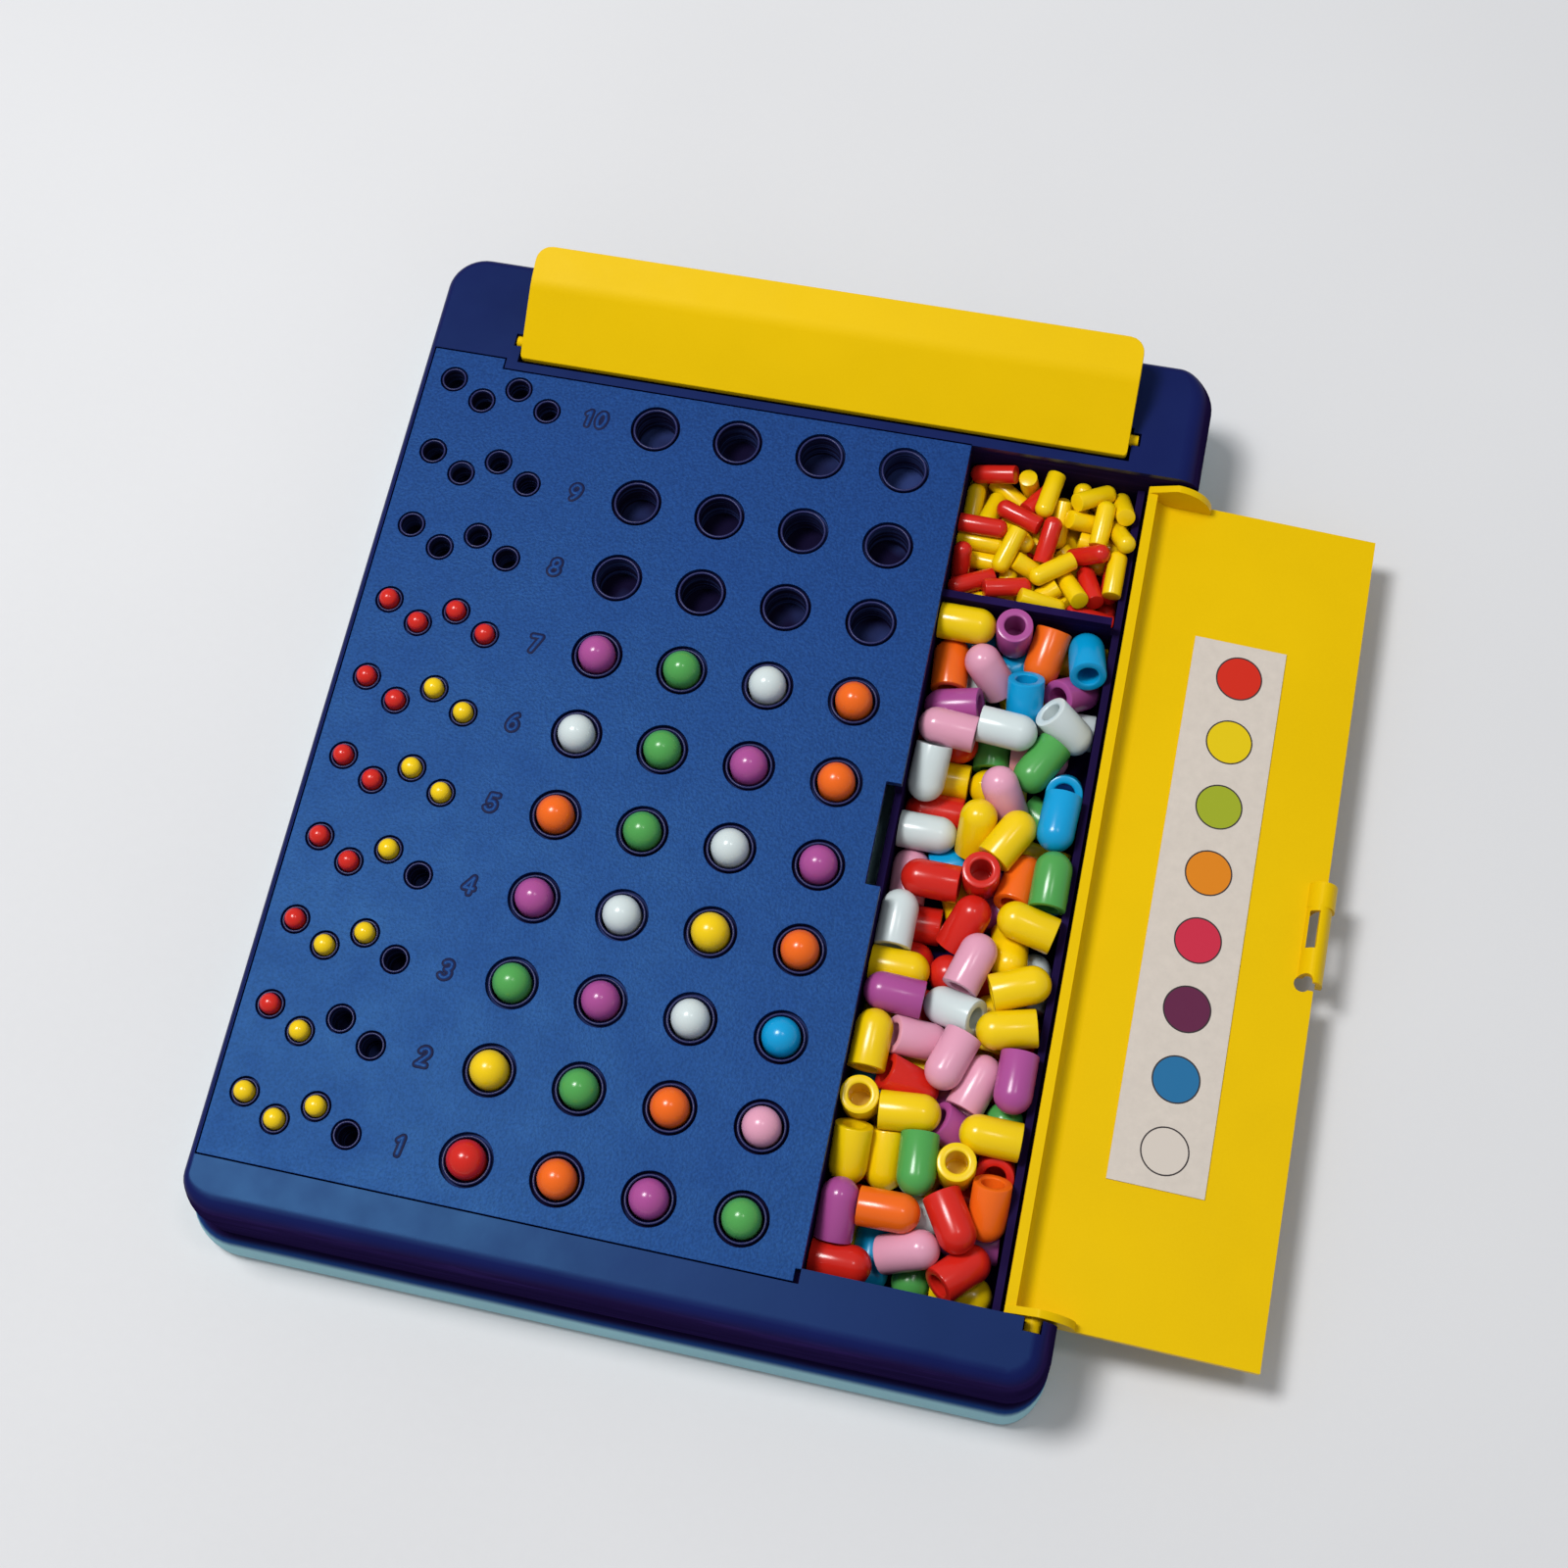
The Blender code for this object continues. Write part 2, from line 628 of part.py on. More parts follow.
def panel_outline():
    """The panel seen from above: notched at the storage side, stepped at the rear."""
    recess_x = PANEL_RIGHT - LATCH_RECESS
    notch_x = PANEL_RIGHT - PANEL_CORNER_NOTCH_X
    notch_y = PANEL_FRONT + PANEL_CORNER_NOTCH_Y
    step_x = PANEL_LEFT + PANEL_REAR_STEP_AT
    return [
        (PANEL_LEFT, PANEL_FRONT),
        (notch_x, PANEL_FRONT),
        (notch_x, notch_y),
        (PANEL_RIGHT, notch_y),
        (PANEL_RIGHT, LATCH_FRONT - LATCH_CLEARANCE),
        (recess_x, LATCH_FRONT - LATCH_CLEARANCE),
        (recess_x, LATCH_REAR + LATCH_CLEARANCE),
        (PANEL_RIGHT, LATCH_REAR + LATCH_CLEARANCE),
        (PANEL_RIGHT, PANEL_SHORT_REAR),
        (step_x, PANEL_SHORT_REAR),
        (step_x, PANEL_REAR),
        (PANEL_LEFT, PANEL_REAR),
    ]


def make_panel():
    """A moulded plate with a blind cup under each hole."""
    outline = panel_outline()
    heights = (TOP - PANEL_THICKNESS, TOP)
    panel = place("peg_panel", solid_mesh("peg_panel", [[(x, y, z) for x, y in outline] for z in heights]))
    cups = [
        (CODE_SOCKET_RADIUS + CODE_CUP_WALL, CODE_SIDES, flat(code_centres())),
        (KEY_SOCKET_RADIUS + KEY_CUP_WALL, KEY_SIDES, flat(key_centres())),
    ]
    sockets = [
        (CODE_SOCKET_RADIUS, CODE_SIDES, flat(code_centres())),
        (KEY_SOCKET_RADIUS, KEY_SIDES, flat(key_centres())),
    ]
    floor = TOP - SOCKET_DEPTH
    join(panel, cylinders_mesh("panel_cups", cups, floor - SOCKET_FLOOR, TOP - PANEL_THICKNESS / 2))
    cut(panel, cylinders_mesh("panel_sockets", sockets, floor, TOP + OVERRUN))
    panel.data.materials.append(finish("panel_blue"))
    shade_round(panel)


def peg_mesh(name, radius, length, sides, dome_steps, bore=0, bore_depth=0):
    """An upright peg with a domed top, standing on z = 0 of its own axis, with or without a bore."""
    profile = []
    if bore:
        profile += [(bore, bore_depth), (bore, 0)]
    profile += [(radius, 0)]
    for i in range(dome_steps):
        angle = radians(90 * i / dome_steps)
        profile.append((radius * cos(angle), length - radius + radius * sin(angle)))
    mesh = bpy.data.meshes.new(name)
    bm = bmesh.new()
    rings = [[bm.verts.new((x, y, z)) for x, y in circle(r, sides)] for r, z in profile]
    for lower, upper in zip(rings, rings[1:]):
        for i in range(sides):
            j = (i + 1) % sides
            bm.faces.new((lower[i], lower[j], upper[j], upper[i]))
    bm.faces.new(reversed(rings[0]))
    tip = bm.verts.new((0, 0, length))
    for i in range(sides):
        bm.faces.new((rings[-1][i], rings[-1][(i + 1) % sides], tip))
    bmesh.ops.recalc_face_normals(bm, faces=bm.faces)
    bm.to_mesh(mesh)
    bm.free()
    return mesh


def make_code_pegs():
    """Bored pegs with a domed head, each standing in its socket."""
    seat = TOP - SOCKET_DEPTH + PEG_SEAT_GAP
    for row, (colours, centres) in enumerate(zip(CODE_ROWS, code_centres()), 1):
        for column, (colour, (x, y)) in enumerate(zip(colours, centres), 1):
            name = f"code_peg_row{row}_{column}_{colour}"
            mesh = peg_mesh(
                name,
                CODE_PEG_RADIUS,
                CODE_PEG_LENGTH,
                CODE_SIDES,
                CODE_DOME_STEPS,
                CODE_PEG_BORE,
                CODE_PEG_BORE_DEPTH,
            )
            mesh.materials.append(finish(f"peg_{colour}"))
            shade_round(place(name, mesh, (x, y, seat)))


def make_key_pegs():
    """Small solid pegs with a domed head, each standing in its socket."""
    seat = TOP - SOCKET_DEPTH + PEG_SEAT_GAP
    for row, (colours, centres) in enumerate(zip(KEY_ROWS, key_centres()), 1):
        for place_no, (colour, (x, y)) in enumerate(zip(colours, centres), 1):
            name = f"key_peg_row{row}_{place_no}_{colour}"
            mesh = peg_mesh(name, KEY_PEG_RADIUS, KEY_PEG_LENGTH, KEY_SIDES, KEY_DOME_STEPS)
            mesh.materials.append(finish(f"peg_{colour}"))
            shade_round(place(name, mesh, (x, y, seat)))


def lid_profile():
    """The lid's section about its hinge axis, open: a plate that curls up into a flange."""
    outer = -LID_FLANGE_OFFSET
    under = -LID_HINGE_DROP
    flange_top = under + LID_FLANGE_HEIGHT
    centre = (outer + LID_EDGE_RADIUS, under + LID_EDGE_RADIUS)
    inner_radius = LID_EDGE_RADIUS - LID_THICKNESS
    outline = [(outer, flange_top)]
    outline += ellipse(centre, (LID_EDGE_RADIUS, LID_EDGE_RADIUS), 180, 270, CORNER_STEPS)
    outline += [(LID_FREE_EDGE, under), (LID_FREE_EDGE, under + LID_THICKNESS)]
    outline += ellipse(centre, (inner_radius, inner_radius), 270, 180, CORNER_STEPS)
    outline += [(outer + LID_THICKNESS, flange_top)]
    return outline


def ear_profile():
    """The end wall of the lid, which carries a pin: the flange's curve below, a round back above."""
    outer = -LID_FLANGE_OFFSET
    under = -LID_HINGE_DROP
    flange_top = under + LID_FLANGE_HEIGHT
    centre = (outer + LID_EDGE_RADIUS, under + LID_EDGE_RADIUS)
    inner = under + LID_THICKNESS / 2
    outline = [(outer, flange_top)]
    outline += ellipse(centre, (LID_EDGE_RADIUS, LID_EDGE_RADIUS), 180, 270, CORNER_STEPS)
    outline += ellipse((0, inner), (LID_EAR_REACH, LID_EAR_RISE - inner), 0, 90, CORNER_STEPS)
    return outline


def latch_profile():
    """The round ridge along the free edge of the lid."""
    right = LID_FREE_EDGE + LATCH_OVERHANG
    base = -LID_HINGE_DROP + LATCH_BASE_RISE
    top = -LID_HINGE_DROP + LID_THICKNESS + LATCH_HEIGHT
    centre = (right - LATCH_WIDTH / 2, base)
    return ellipse(centre, (LATCH_WIDTH / 2, top - base), 0, 180, CORNER_STEPS + 2)


def make_lid():
    """The storage lid, lying open. Its origin is on the hinge axis."""
    name = "storage_lid"
    plate = extrude_y(name, lid_profile(), LID_FRONT, LID_REAR)
    lid = place(name, plate, (HINGE_X, 0, HINGE_Z), LID_TILT)
    ends = (("front", LID_FRONT, 1), ("rear", LID_REAR, -1))
    for end, y, inwards in ends:
        join(lid, extrude_y(f"{end}_ear", ear_profile(), y, y + inwards * LID_EAR_THICKNESS))
        reach = LID_END_CLEARANCE + LID_PIN_ENGAGEMENT - PIN_CLEARANCE
        pin = ellipse((0, 0), (LID_PIN_RADIUS, LID_PIN_RADIUS), 0, 360, PIN_SIDES)[:-1]
        join(lid, extrude_y(f"{end}_lid_pin", pin, y - inwards * reach, y + inwards * LID_EAR_THICKNESS / 2))
    join(lid, extrude_y("lid_latch", latch_profile(), LATCH_FRONT, LATCH_REAR))
    slot_left = LID_FREE_EDGE + LATCH_OVERHANG - LATCH_WIDTH + LATCH_SLOT_INSET
    slot_rear = LATCH_REAR - LATCH_SLOT_SETBACK
    cut(
        lid,
        box_mesh(
            "latch_slot",
            (slot_left, slot_rear - LATCH_SLOT_LENGTH, -LID_HINGE_DROP - OVERRUN),
            (slot_left + LATCH_SLOT_WIDTH, slot_rear, LATCH_HEIGHT),
        ),
    )
    lid.data.materials.append(finish("yellow"))
    shade_round(lid)


def make_colour_strip():
    """The paper strip on the inside of the lid."""
    bottom = -LID_HINGE_DROP + LID_THICKNESS + STRIP_GAP
    low = (STRIP_OFFSET, LID_MIDDLE - STRIP_LENGTH / 2, bottom)
    high = (STRIP_OFFSET + STRIP_WIDTH, LID_MIDDLE + STRIP_LENGTH / 2, bottom + STRIP_THICKNESS)
    strip = place("colour_strip", box_mesh("colour_strip", low, high), (HINGE_X, 0, HINGE_Z), LID_TILT)
    strip.data.materials.append(finish("strip_paper"))


def shield_top():
    """The outer line of the shield from front edge to rear edge, in Y and Z from its pivot."""
    lift = TOP - PIVOT_Z
    return [
        (-SHIELD_FRONT_REACH, lift + SHIELD_FRONT_HEIGHT),
        (SHIELD_FOLD_REACH, lift + SHIELD_FOLD_HEIGHT),
        (SHIELD_REAR_REACH, lift + SHIELD_REAR_HEIGHT),
    ]


def shield_underside():
    """The inner line of the shield, one thickness below its outer line."""
    return [(y, z - SHIELD_THICKNESS) for y, z in shield_top()]


def cheek_profile():
    """The side wall of the shield: it stands on the deck behind, and ends in the pin's boss in front."""
    foot = TOP - PIVOT_Z + SHIELD_FOOT_GAP
    top = shield_top()
    (front_y, front_z), (fold_y, fold_z), (rear_y, rear_z) = top
    slope = (fold_z - front_z) / (fold_y - front_y)
    sink = SHIELD_THICKNESS / 2
    boss_front = -SHIELD_BOSS_RADIUS
    boss_top = front_z + slope * (boss_front - front_y) - sink
    outline = [(boss_front, boss_top)]
    outline += ellipse((0, 0), (SHIELD_BOSS_RADIUS, SHIELD_BOSS_RADIUS), 180, 360, PIN_SIDES // 2)
    outline += [(SHIELD_BOSS_RADIUS, foot), (rear_y, foot), (rear_y, rear_z - sink), (fold_y, fold_z - sink)]
    return outline


def make_shield():
    """The code shield, lying closed. Its origin is on the pivot axis."""
    name = "code_shield"
    outline = shield_top()[::-1] + shield_underside()
    half = SHIELD_WIDTH / 2
    middle = (SHIELD_LEFT + SHIELD_RIGHT) / 2
    shield = place(name, extrude_x(name, outline, -half, half), (middle, PIVOT_Y, PIVOT_Z))
    pin = ellipse((0, 0), (SHIELD_PIN_RADIUS, SHIELD_PIN_RADIUS), 0, 360, PIN_SIDES)[:-1]
    for side, x, inwards in (("left", -half, 1), ("right", half, -1)):
        join(shield, extrude_x(f"{side}_cheek", cheek_profile(), x, x + inwards * SHIELD_THICKNESS))
        reach = SHIELD_PIN_LENGTH - PIN_CLEARANCE / 2
        inner = x + inwards * SHIELD_THICKNESS / 2
        join(shield, extrude_x(f"{side}_shield_pin", pin, x - inwards * reach, inner))
    shield.data.materials.append(finish("yellow"))
    shade_round(shield)


def main():
    clear_scene()
    make_bottom_cover()
    make_tray()
    make_panel()
    make_code_pegs()
    make_key_pegs()
    make_lid()
    make_colour_strip()
    make_shield()


main()
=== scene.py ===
"""Looks of the code breaking peg game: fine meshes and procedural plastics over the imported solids.

Shapes are written in millimetres and turned into metres as they become objects. The origin, the axes
and the sizes are those of the solids: +X is the storage side, +Y points away from the code breaker.
"""

import math
import random

import bmesh
import bpy
from mathutils import Euler, Matrix, Vector


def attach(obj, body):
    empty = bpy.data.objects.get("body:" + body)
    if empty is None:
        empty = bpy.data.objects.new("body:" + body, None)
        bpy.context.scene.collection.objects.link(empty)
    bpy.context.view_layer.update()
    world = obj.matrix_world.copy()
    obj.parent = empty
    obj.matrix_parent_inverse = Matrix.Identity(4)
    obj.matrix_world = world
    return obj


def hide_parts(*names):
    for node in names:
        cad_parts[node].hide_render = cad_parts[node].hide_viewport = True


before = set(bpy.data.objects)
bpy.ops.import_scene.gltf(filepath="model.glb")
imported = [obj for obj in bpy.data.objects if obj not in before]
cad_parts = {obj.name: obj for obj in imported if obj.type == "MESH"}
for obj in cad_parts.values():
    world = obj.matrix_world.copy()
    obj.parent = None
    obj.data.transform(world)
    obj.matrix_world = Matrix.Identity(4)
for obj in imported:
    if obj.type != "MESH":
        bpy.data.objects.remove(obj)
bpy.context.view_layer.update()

# Units and small overlaps
MM = 0.001
PER_METRE = 1000
OVERRUN = 2.0
MARGIN = 1.0
BITE = 0.5
HAIR = 0.02

# Tray
TRAY_WIDTH, TRAY_LENGTH = 168.5, 214.0
LEFT, RIGHT = -TRAY_WIDTH / 2, TRAY_WIDTH / 2
FRONT, REAR = -TRAY_LENGTH / 2, TRAY_LENGTH / 2
TOP = 26.0
SPLIT = 11.3
CORNER, LEAST_CORNER = 8.0, 0.6
CORNER_STEPS = 10
WIDE_EDGE, WIDE_EDGE_STEPS = 5.0, 12
NARROW_EDGE, NARROW_EDGE_STEPS = 1.6, 6
FOOT_CHAMFER = 0.15
TRAY_RADII = 0.3

# Bottom cover, wider than the tray in front and at the left
COVER_HEIGHT, COVER_WALL = 10.95, 2.0
COVER_EDGE, COVER_EDGE_STEPS = 1.2, 6
COVER_STEPS = 12
COVER_LIP_INSET = 0.12
FRONT_REACH, LEFT_REACH = 2.9, 3.2

# Storage wells, hinge channel and panel
FRONT_STRIP, REAR_DECK = 11.8, 23.8
HINGE_CHANNEL = 10.9
WELL_WALL, WELL_WIDTH, WELL_FLOOR = 1.5, 35.7, 5.0
CHANNEL_LEFT = RIGHT - HINGE_CHANNEL
WELL_RIGHT = CHANNEL_LEFT - WELL_WALL
WELL_LEFT = WELL_RIGHT - WELL_WIDTH
PANEL_LEFT, PANEL_RIGHT = LEFT + 1.6, WELL_LEFT
PANEL_FRONT, PANEL_REAR = FRONT + FRONT_STRIP, REAR - REAR_DECK
SHORT_REAR = PANEL_REAR - 2.5
STEP_X = PANEL_LEFT + 15.7
PANEL_PLATE, PANEL_GAP = 2.0, 0.3
PANEL_LEDGE, REAR_LEDGE = 2.5, 0.8
NOTCH_X, NOTCH_Y = 1.1, 2.4
PANEL_RADII = 0.16
WELL_FRONT, WELL_REAR = PANEL_FRONT + 2.6, SHORT_REAR
KEY_WELL, DIVIDER_PLATE, LOW_STEP = 32.1, 1.6, 3.1
DIVIDER_REAR = WELL_REAR - KEY_WELL
DIVIDER_FRONT = DIVIDER_REAR - DIVIDER_PLATE
INNER_TOP = 17.5
LEDGE_TOP = 13.456

# Sockets: hole in the panel, outer and inner radius of the rim, and sides
COLUMN_PITCH, FIRST_COLUMN = 18.0, -30.75
ROW_PITCH, FIRST_ROW = 17.6, -86.0
KEY_PITCH, KEY_STAGGER, KEY_TO_CODE = 7.3, 4.0, 24.1
COLUMNS = [FIRST_COLUMN + COLUMN_PITCH * i for i in range(4)]
ROWS = [FIRST_ROW + ROW_PITCH * i for i in range(10)]
LAST_KEY = FIRST_COLUMN - KEY_TO_CODE
KEYS = [(LAST_KEY - KEY_PITCH * (3 - i), KEY_STAGGER * (1 - i % 2)) for i in range(4)]
SOCKET_FLOOR, SOCKET_BASE, GROOVE_DEPTH = 18.0, 1.0, 1.3
CODE_SOCKET = (5.3, 4.78, 4.3, 56)
KEY_SOCKET = (3.0, 2.66, 2.26, 36)
SECRET_Y, SECRET_RADIUS, SECRET_SIDES = 96.9, 4.5, 40

# Row numbers, whose ridges have a half width and a height
NUMERAL_X, NUMERAL_SLANT, NUMERAL_SPACING = -44.1, 0.13, 2.9
DIGIT_HEIGHT, DIGIT_HALF = 3.3, 1.0
# The wide low ridge is the dark outline: painted shade along the edges of each stroke
NUMERAL_EDGE = (0.84, 0.12)
NUMERAL_INSIDE = (0.4, 0.2)

# Pegs
CODE_PEG_RADIUS, CODE_PEG_LENGTH, CODE_PEG_SIDES = 3.8, 12.0, 40
PEG_BORE, BORE_DEPTH = 2.2, 7.5
KEY_PEG_RADIUS, KEY_PEG_LENGTH, KEY_PEG_SIDES = 2.0, 10.3, 28
KEY_PEG_DOME = 1.8
PEG_SEAT_GAP = 0.3

# Storage lid, drawn from its hinge axis
HINGE_X, HINGE_Z = RIGHT - 4.5, TOP - 5.9
LID_FRONT, LID_REAR = WELL_FRONT + 0.6, WELL_REAR - 0.6
LID_EDGE = 43.2
LID_TILT = math.asin(4.0 / LID_EDGE)
LID_UNDER, LID_PLATE, LID_OUTER = -5.9, 2.0, -5.7
LID_FLANGE, LID_CURL = 6.8, 6.0
LID_PIN_RADIUS, LID_PIN_SLOT, LID_PIN_REACH, LID_PIN_ROOT = 1.6, 1.75, 2.5, 0.9
EAR_REACH, EAR_RISE, EAR_THICKNESS = 8.3, 4.2, 1.5
YELLOW_RADII = 0.22

# Latch on the lid's free edge
LATCH_FRONT, LATCH_REAR = -17.05, 3.55
OVERHANG, LATCH_HEIGHT, LATCH_FOOT = 2.2, 3.2, 0.6
SHOULDER = 4.6
WIDE_HALF, SLIM_HALF, LATCH_STEP = 2.95, 2.65, 0.5
HOLLOW_INSET, HOLLOW_HALF = 3.0, 1.3
HOLLOW_FOOT, HOLLOW_DROP, HOLLOW_END = 0.9, 2.0, 4.0
SLOT_LEFT, SLOT_RIGHT = 5.2, 3.5
SLOT_FRONT, SLOT_REAR = -10.15, -2.45
MOUTH_INSET, MOUTH_RADIUS = 4.6, 1.6
LATCH_GAP = 0.5
RECESS_WIDTH, RECESS_DEPTH, LATCH_NOTCH = 2.5, 6.0, 3.1

# Printed strip inside the lid
STRIP_LEFT, STRIP_RIGHT = 9.3, 28.3
STRIP_Y, STRIP_LENGTH = -5.95, 113.6
STRIP_GLUE, STRIP_THICKNESS = 0.05, 0.25
DOT_X, DOT_PITCH, DOT_RADIUS = 98.8, 14.1, 4.7
DOT_SOFTNESS = 0.08
RING_OUTER, RING_INNER = 0.22, 0.3

# Code shield, drawn from its pivot
PIVOT_Y, PIVOT_Z = 88.2, 25.2
SHIELD_LEFT, SHIELD_RIGHT = -63.65, 68.35
SHIELD_NOSE, SHIELD_FOLD, SHIELD_BACK = (-4.6, 1.7), (9.8, 9.8), (18.2, 11.6)
SHIELD_PLATE, FOLD_REACH, FOLD_STEPS = 1.6, 1.6, 8
SHIELD_CORNER, NOSE_CORNER = 3.4, 0.8
STATIONS = (0, 0.12, 0.3, 0.6, 1.0, 1.5, 2.2, 3.4)
FOOT_GAP, SHIELD_BOSS = 0.3, 2.0
CHEEK_REAR, CHEEK_REAR_TOP, CHEEK_FOLD_TOP = 14.6, 10.0, 8.8
SHIELD_PIN_RADIUS, SHIELD_SLOT, SLOT_DEPTH = 1.2, 1.5, 2.3
SHIELD_PIN_REACH, SHIELD_PIN_ROOT = 1.85, 0.8
TROUGH_FRONT, TROUGH_REAR, TROUGH_DEPTH, TROUGH_GAP = 82.9, 90.8, 7.2, 0.6

# Loose pegs: number dropped, frames that they fall and seed, then sides and seed of the colours
CODE_DROP, CODE_HEAP = (108, 160, 11), (32, 4)
KEY_DROP, KEY_HEAP = (88, 130, 5), (20, 9)
SIM = 0.05
HEAP_GAP = 0.1
HEAP_TOP, HEAP_LATCH_TOP = 23.5, 20.4
LATCH_ZONE_X, LATCH_ZONE_EDGE = 50.0, 7.0
EAR_SWING_X, EAR_BOTTOM, EAR_SWING_GAP = 71.1, 11.0, 1.8
EAR_BLOCK_BOTTOM, EAR_BLOCK_GAP = 10.0, 1.9
SIDE_WIDTH, SIDE_HEIGHT, FLANGE_GAP = 20.0, 400.0, 1.8
DROP_SPACING, DROP_HEIGHT, DROP_JITTER = 1.12, 0.7, 0.4
FALLING_SIDES = 12
PLATE_START, PLATE_MARGIN, PLATE_DROP, PLATE_DEPTH = 90.0, 5.0, 0.2, 20.0
PLATE_WAIT, PLATE_REST = 70, 25

# Floor, in millimetres, and lamps: name, direction, distance and size in metres, power in watts
FLOOR_REACH, FLOOR_DEPTH = 3000.0, 4.0
FLOOR_FADE = (300, 1700)
LAMPS = (
    ("key", (-0.419, 0.046, 0.907), 1.5, 0.32, 4.1),
    ("second", (0.221, 0.073, 0.973), 1.6, 0.22, 2.0),
    ("sheen", (-0.32, 0.1, 0.942), 1.3, 0.34, 9.2),
)
ROOM_COLOUR, ROOM_LIGHT, ROOM_SEEN = (0.93, 0.96, 1.0), 0.33, 0.5

# Camera, with its lens in pixels of the photograph and its place in metres
ZOOM = 1.6
FOCAL_PIXELS = 1630.705
PRINCIPAL = (770.0, 680.0)
FRAME_CENTRE = (800.0, 800.0)
FRAME_PIXELS = 1600
SENSOR = 36.0
CAMERA_PLACE = (0.076416, -0.156928, 0.511611)
CAMERA_TURN = (23.1095, 4.4023, 12.5349)
NEAREST, FARTHEST = 0.01, 20

# Colours
NAVY = (0.007, 0.008, 0.076)
# Painted shade: the colour that the tray's sides and wells, and the cover's top at its seam, are darkened to
SHADE_NAVY = (0.013, 0.007, 0.046)
BLUE, BLUE_GRAIN = (0.005, 0.019, 0.122), (0.011, 0.046, 0.22)
SKY = (0.16, 0.52, 1.0)
SOCKET_BLUE = (0.014, 0.018, 0.095)
# Painted shade inside the sockets, and lighter painted highlight streaks on the cup walls
CUP_SHADOW, CUP_HIGHLIGHT_STREAK = (0.008, 0.006, 0.026), (0.03, 0.05, 0.17)
# The numerals' outline colour is painted shade along the strokes' edges; the dots' ink is print
NUMERAL_SHADE, DOT_INK = (0.006, 0.01, 0.05), (0.035, 0.028, 0.03)
# The cover's pale colour is its light blue and also a painted reflection of the pale floor
COVER_BLUE, COVER_PALE_REFLECTION = (0.014, 0.05, 0.2), (0.36, 0.62, 0.69)
YELLOW, YELLOW_GRAIN = (0.79, 0.5, 0.001), (0.84, 0.56, 0.001)
YELLOW_SHEEN = (1.0, 0.85, 0.3)
PAPER = (0.64, 0.57, 0.5)
FLOOR_COLOURS = ((0.7, 0.7, 0.71), (0.73, 0.73, 0.74))
FLOOR_GLOW = (0.95, 0.97, 1.0)
PEG_COLOURS = {
    "red": (0.64, 0.018, 0.01),
    "orange": (0.88, 0.14, 0.008),
    "yellow": (0.89, 0.6, 0.002),
    "green": (0.08, 0.36, 0.08),
    "blue": (0.002, 0.33, 0.66),
    "purple": (0.4, 0.075, 0.29),
    "pink": (0.76, 0.35, 0.48),
    "white": (0.64, 0.72, 0.72),
}
STRIP_DOTS = (
    (0.62, 0.024, 0.01),
    (0.74, 0.54, 0.004),
    (0.33, 0.39, 0.02),
    (0.7, 0.22, 0.01),
    (0.57, 0.026, 0.06),
    (0.12, 0.018, 0.06),
    (0.018, 0.15, 0.33),
    PAPER,
)

# Heights where the plastics change colour, in millimetres: where painted shade begins and where it is full,
# and for the cover where pale turns to blue and blue to painted shade
TRAY_SHADE_HEIGHTS = (25.8, 24.3)
SOCKET_SHADE_HEIGHTS = (25.9, 25.3)
# The cover turns from pale (light blue and painted floor reflection) to blue to painted shade between these
# heights
COVER_LIGHT_AND_SHADE_HEIGHTS = (7.6, 10.0, 11.4)

# Plugged-in pegs, from the first row, and how often each colour lies loose
CODE_ROWS = (
    "red orange purple green",
    "yellow green orange pink",
    "green purple white blue",
    "purple white yellow orange",
    "orange green white purple",
    "white green purple orange",
    "purple green white orange",
)
KEY_ROWS = (
    "yellow yellow yellow",
    "red yellow",
    "red yellow yellow",
    "red red yellow",
    "red red yellow yellow",
    "red red yellow yellow",
    "red red red red",
)
CODE_SHARES = {"red": 6, "yellow": 4, "blue": 3, "purple": 3, "white": 3, "pink": 2, "orange": 2, "green": 2}
KEY_SHARES = {"yellow": 1, "red": 1}


# Meshes


def make(name, parts, material, body="root", smooth=35, replaces=()):
    """One object from lists of (vertices in mm, faces)."""
    mesh = bpy.data.meshes.new(name)
    shape = bmesh.new()
    for points, faces in parts:
        made = [shape.verts.new((x * MM, y * MM, z * MM)) for x, y, z in points]
        for face in faces:
            shape.faces.new([made[i] for i in face])
    bmesh.ops.recalc_face_normals(shape, faces=shape.faces)
    shape.to_mesh(mesh)
    shape.free()
    item = bpy.data.objects.new(name, mesh)
    bpy.context.collection.objects.link(item)
    if material:
        mesh.materials.append(material)
    shade(item, smooth)
    if body:
        dress(item, body, replaces)
    return item


def dress(item, body, replaces=()):
    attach(item, body)
    if replaces:
        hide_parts(*replaces)


def shade(item, angle):
    item.data.shade_smooth()
    item.data.set_sharp_from_angle(angle=math.radians(angle))


def loft(rings):
    """Quads through rings of equal length, ends closed."""
    points = [p for ring in rings for p in ring]
    count = len(rings[0])
    faces = []
    for low in range(0, len(points) - count, count):
        high = low + count
        for i in range(count):
            j = (i + 1) % count
            faces.append((low + i, low + j, high + j, high + i))
    faces.append(tuple(reversed(range(count))))
    faces.append(tuple(range(len(points) - count, len(points))))
    return points, faces


def box(x0, x1, y0, y1, z0, z1):
    outline = ((x0, y0), (x1, y0), (x1, y1), (x0, y1))
    return loft([[(x, y, z) for x, y in outline] for z in (z0, z1)])


def along_y(outline, y0, y1):
    return loft([[(x, y, z) for x, z in outline] for y in (y0, y1)])


def along_x(outline, x0, x1):
    return loft([[(x, y, z) for y, z in outline] for x in (x0, x1)])


def arc(cx, cy, rx, ry, start, end, steps):
    turns = [math.radians(start + (end - start) * i / steps) for i in range(steps + 1)]
    return [(cx + rx * math.cos(t), cy + ry * math.sin(t)) for t in turns]


def circle(cx, cy, radius):
    """A round outline of 24 points."""
    return arc(cx, cy, radius, radius, 0, 345, 23)


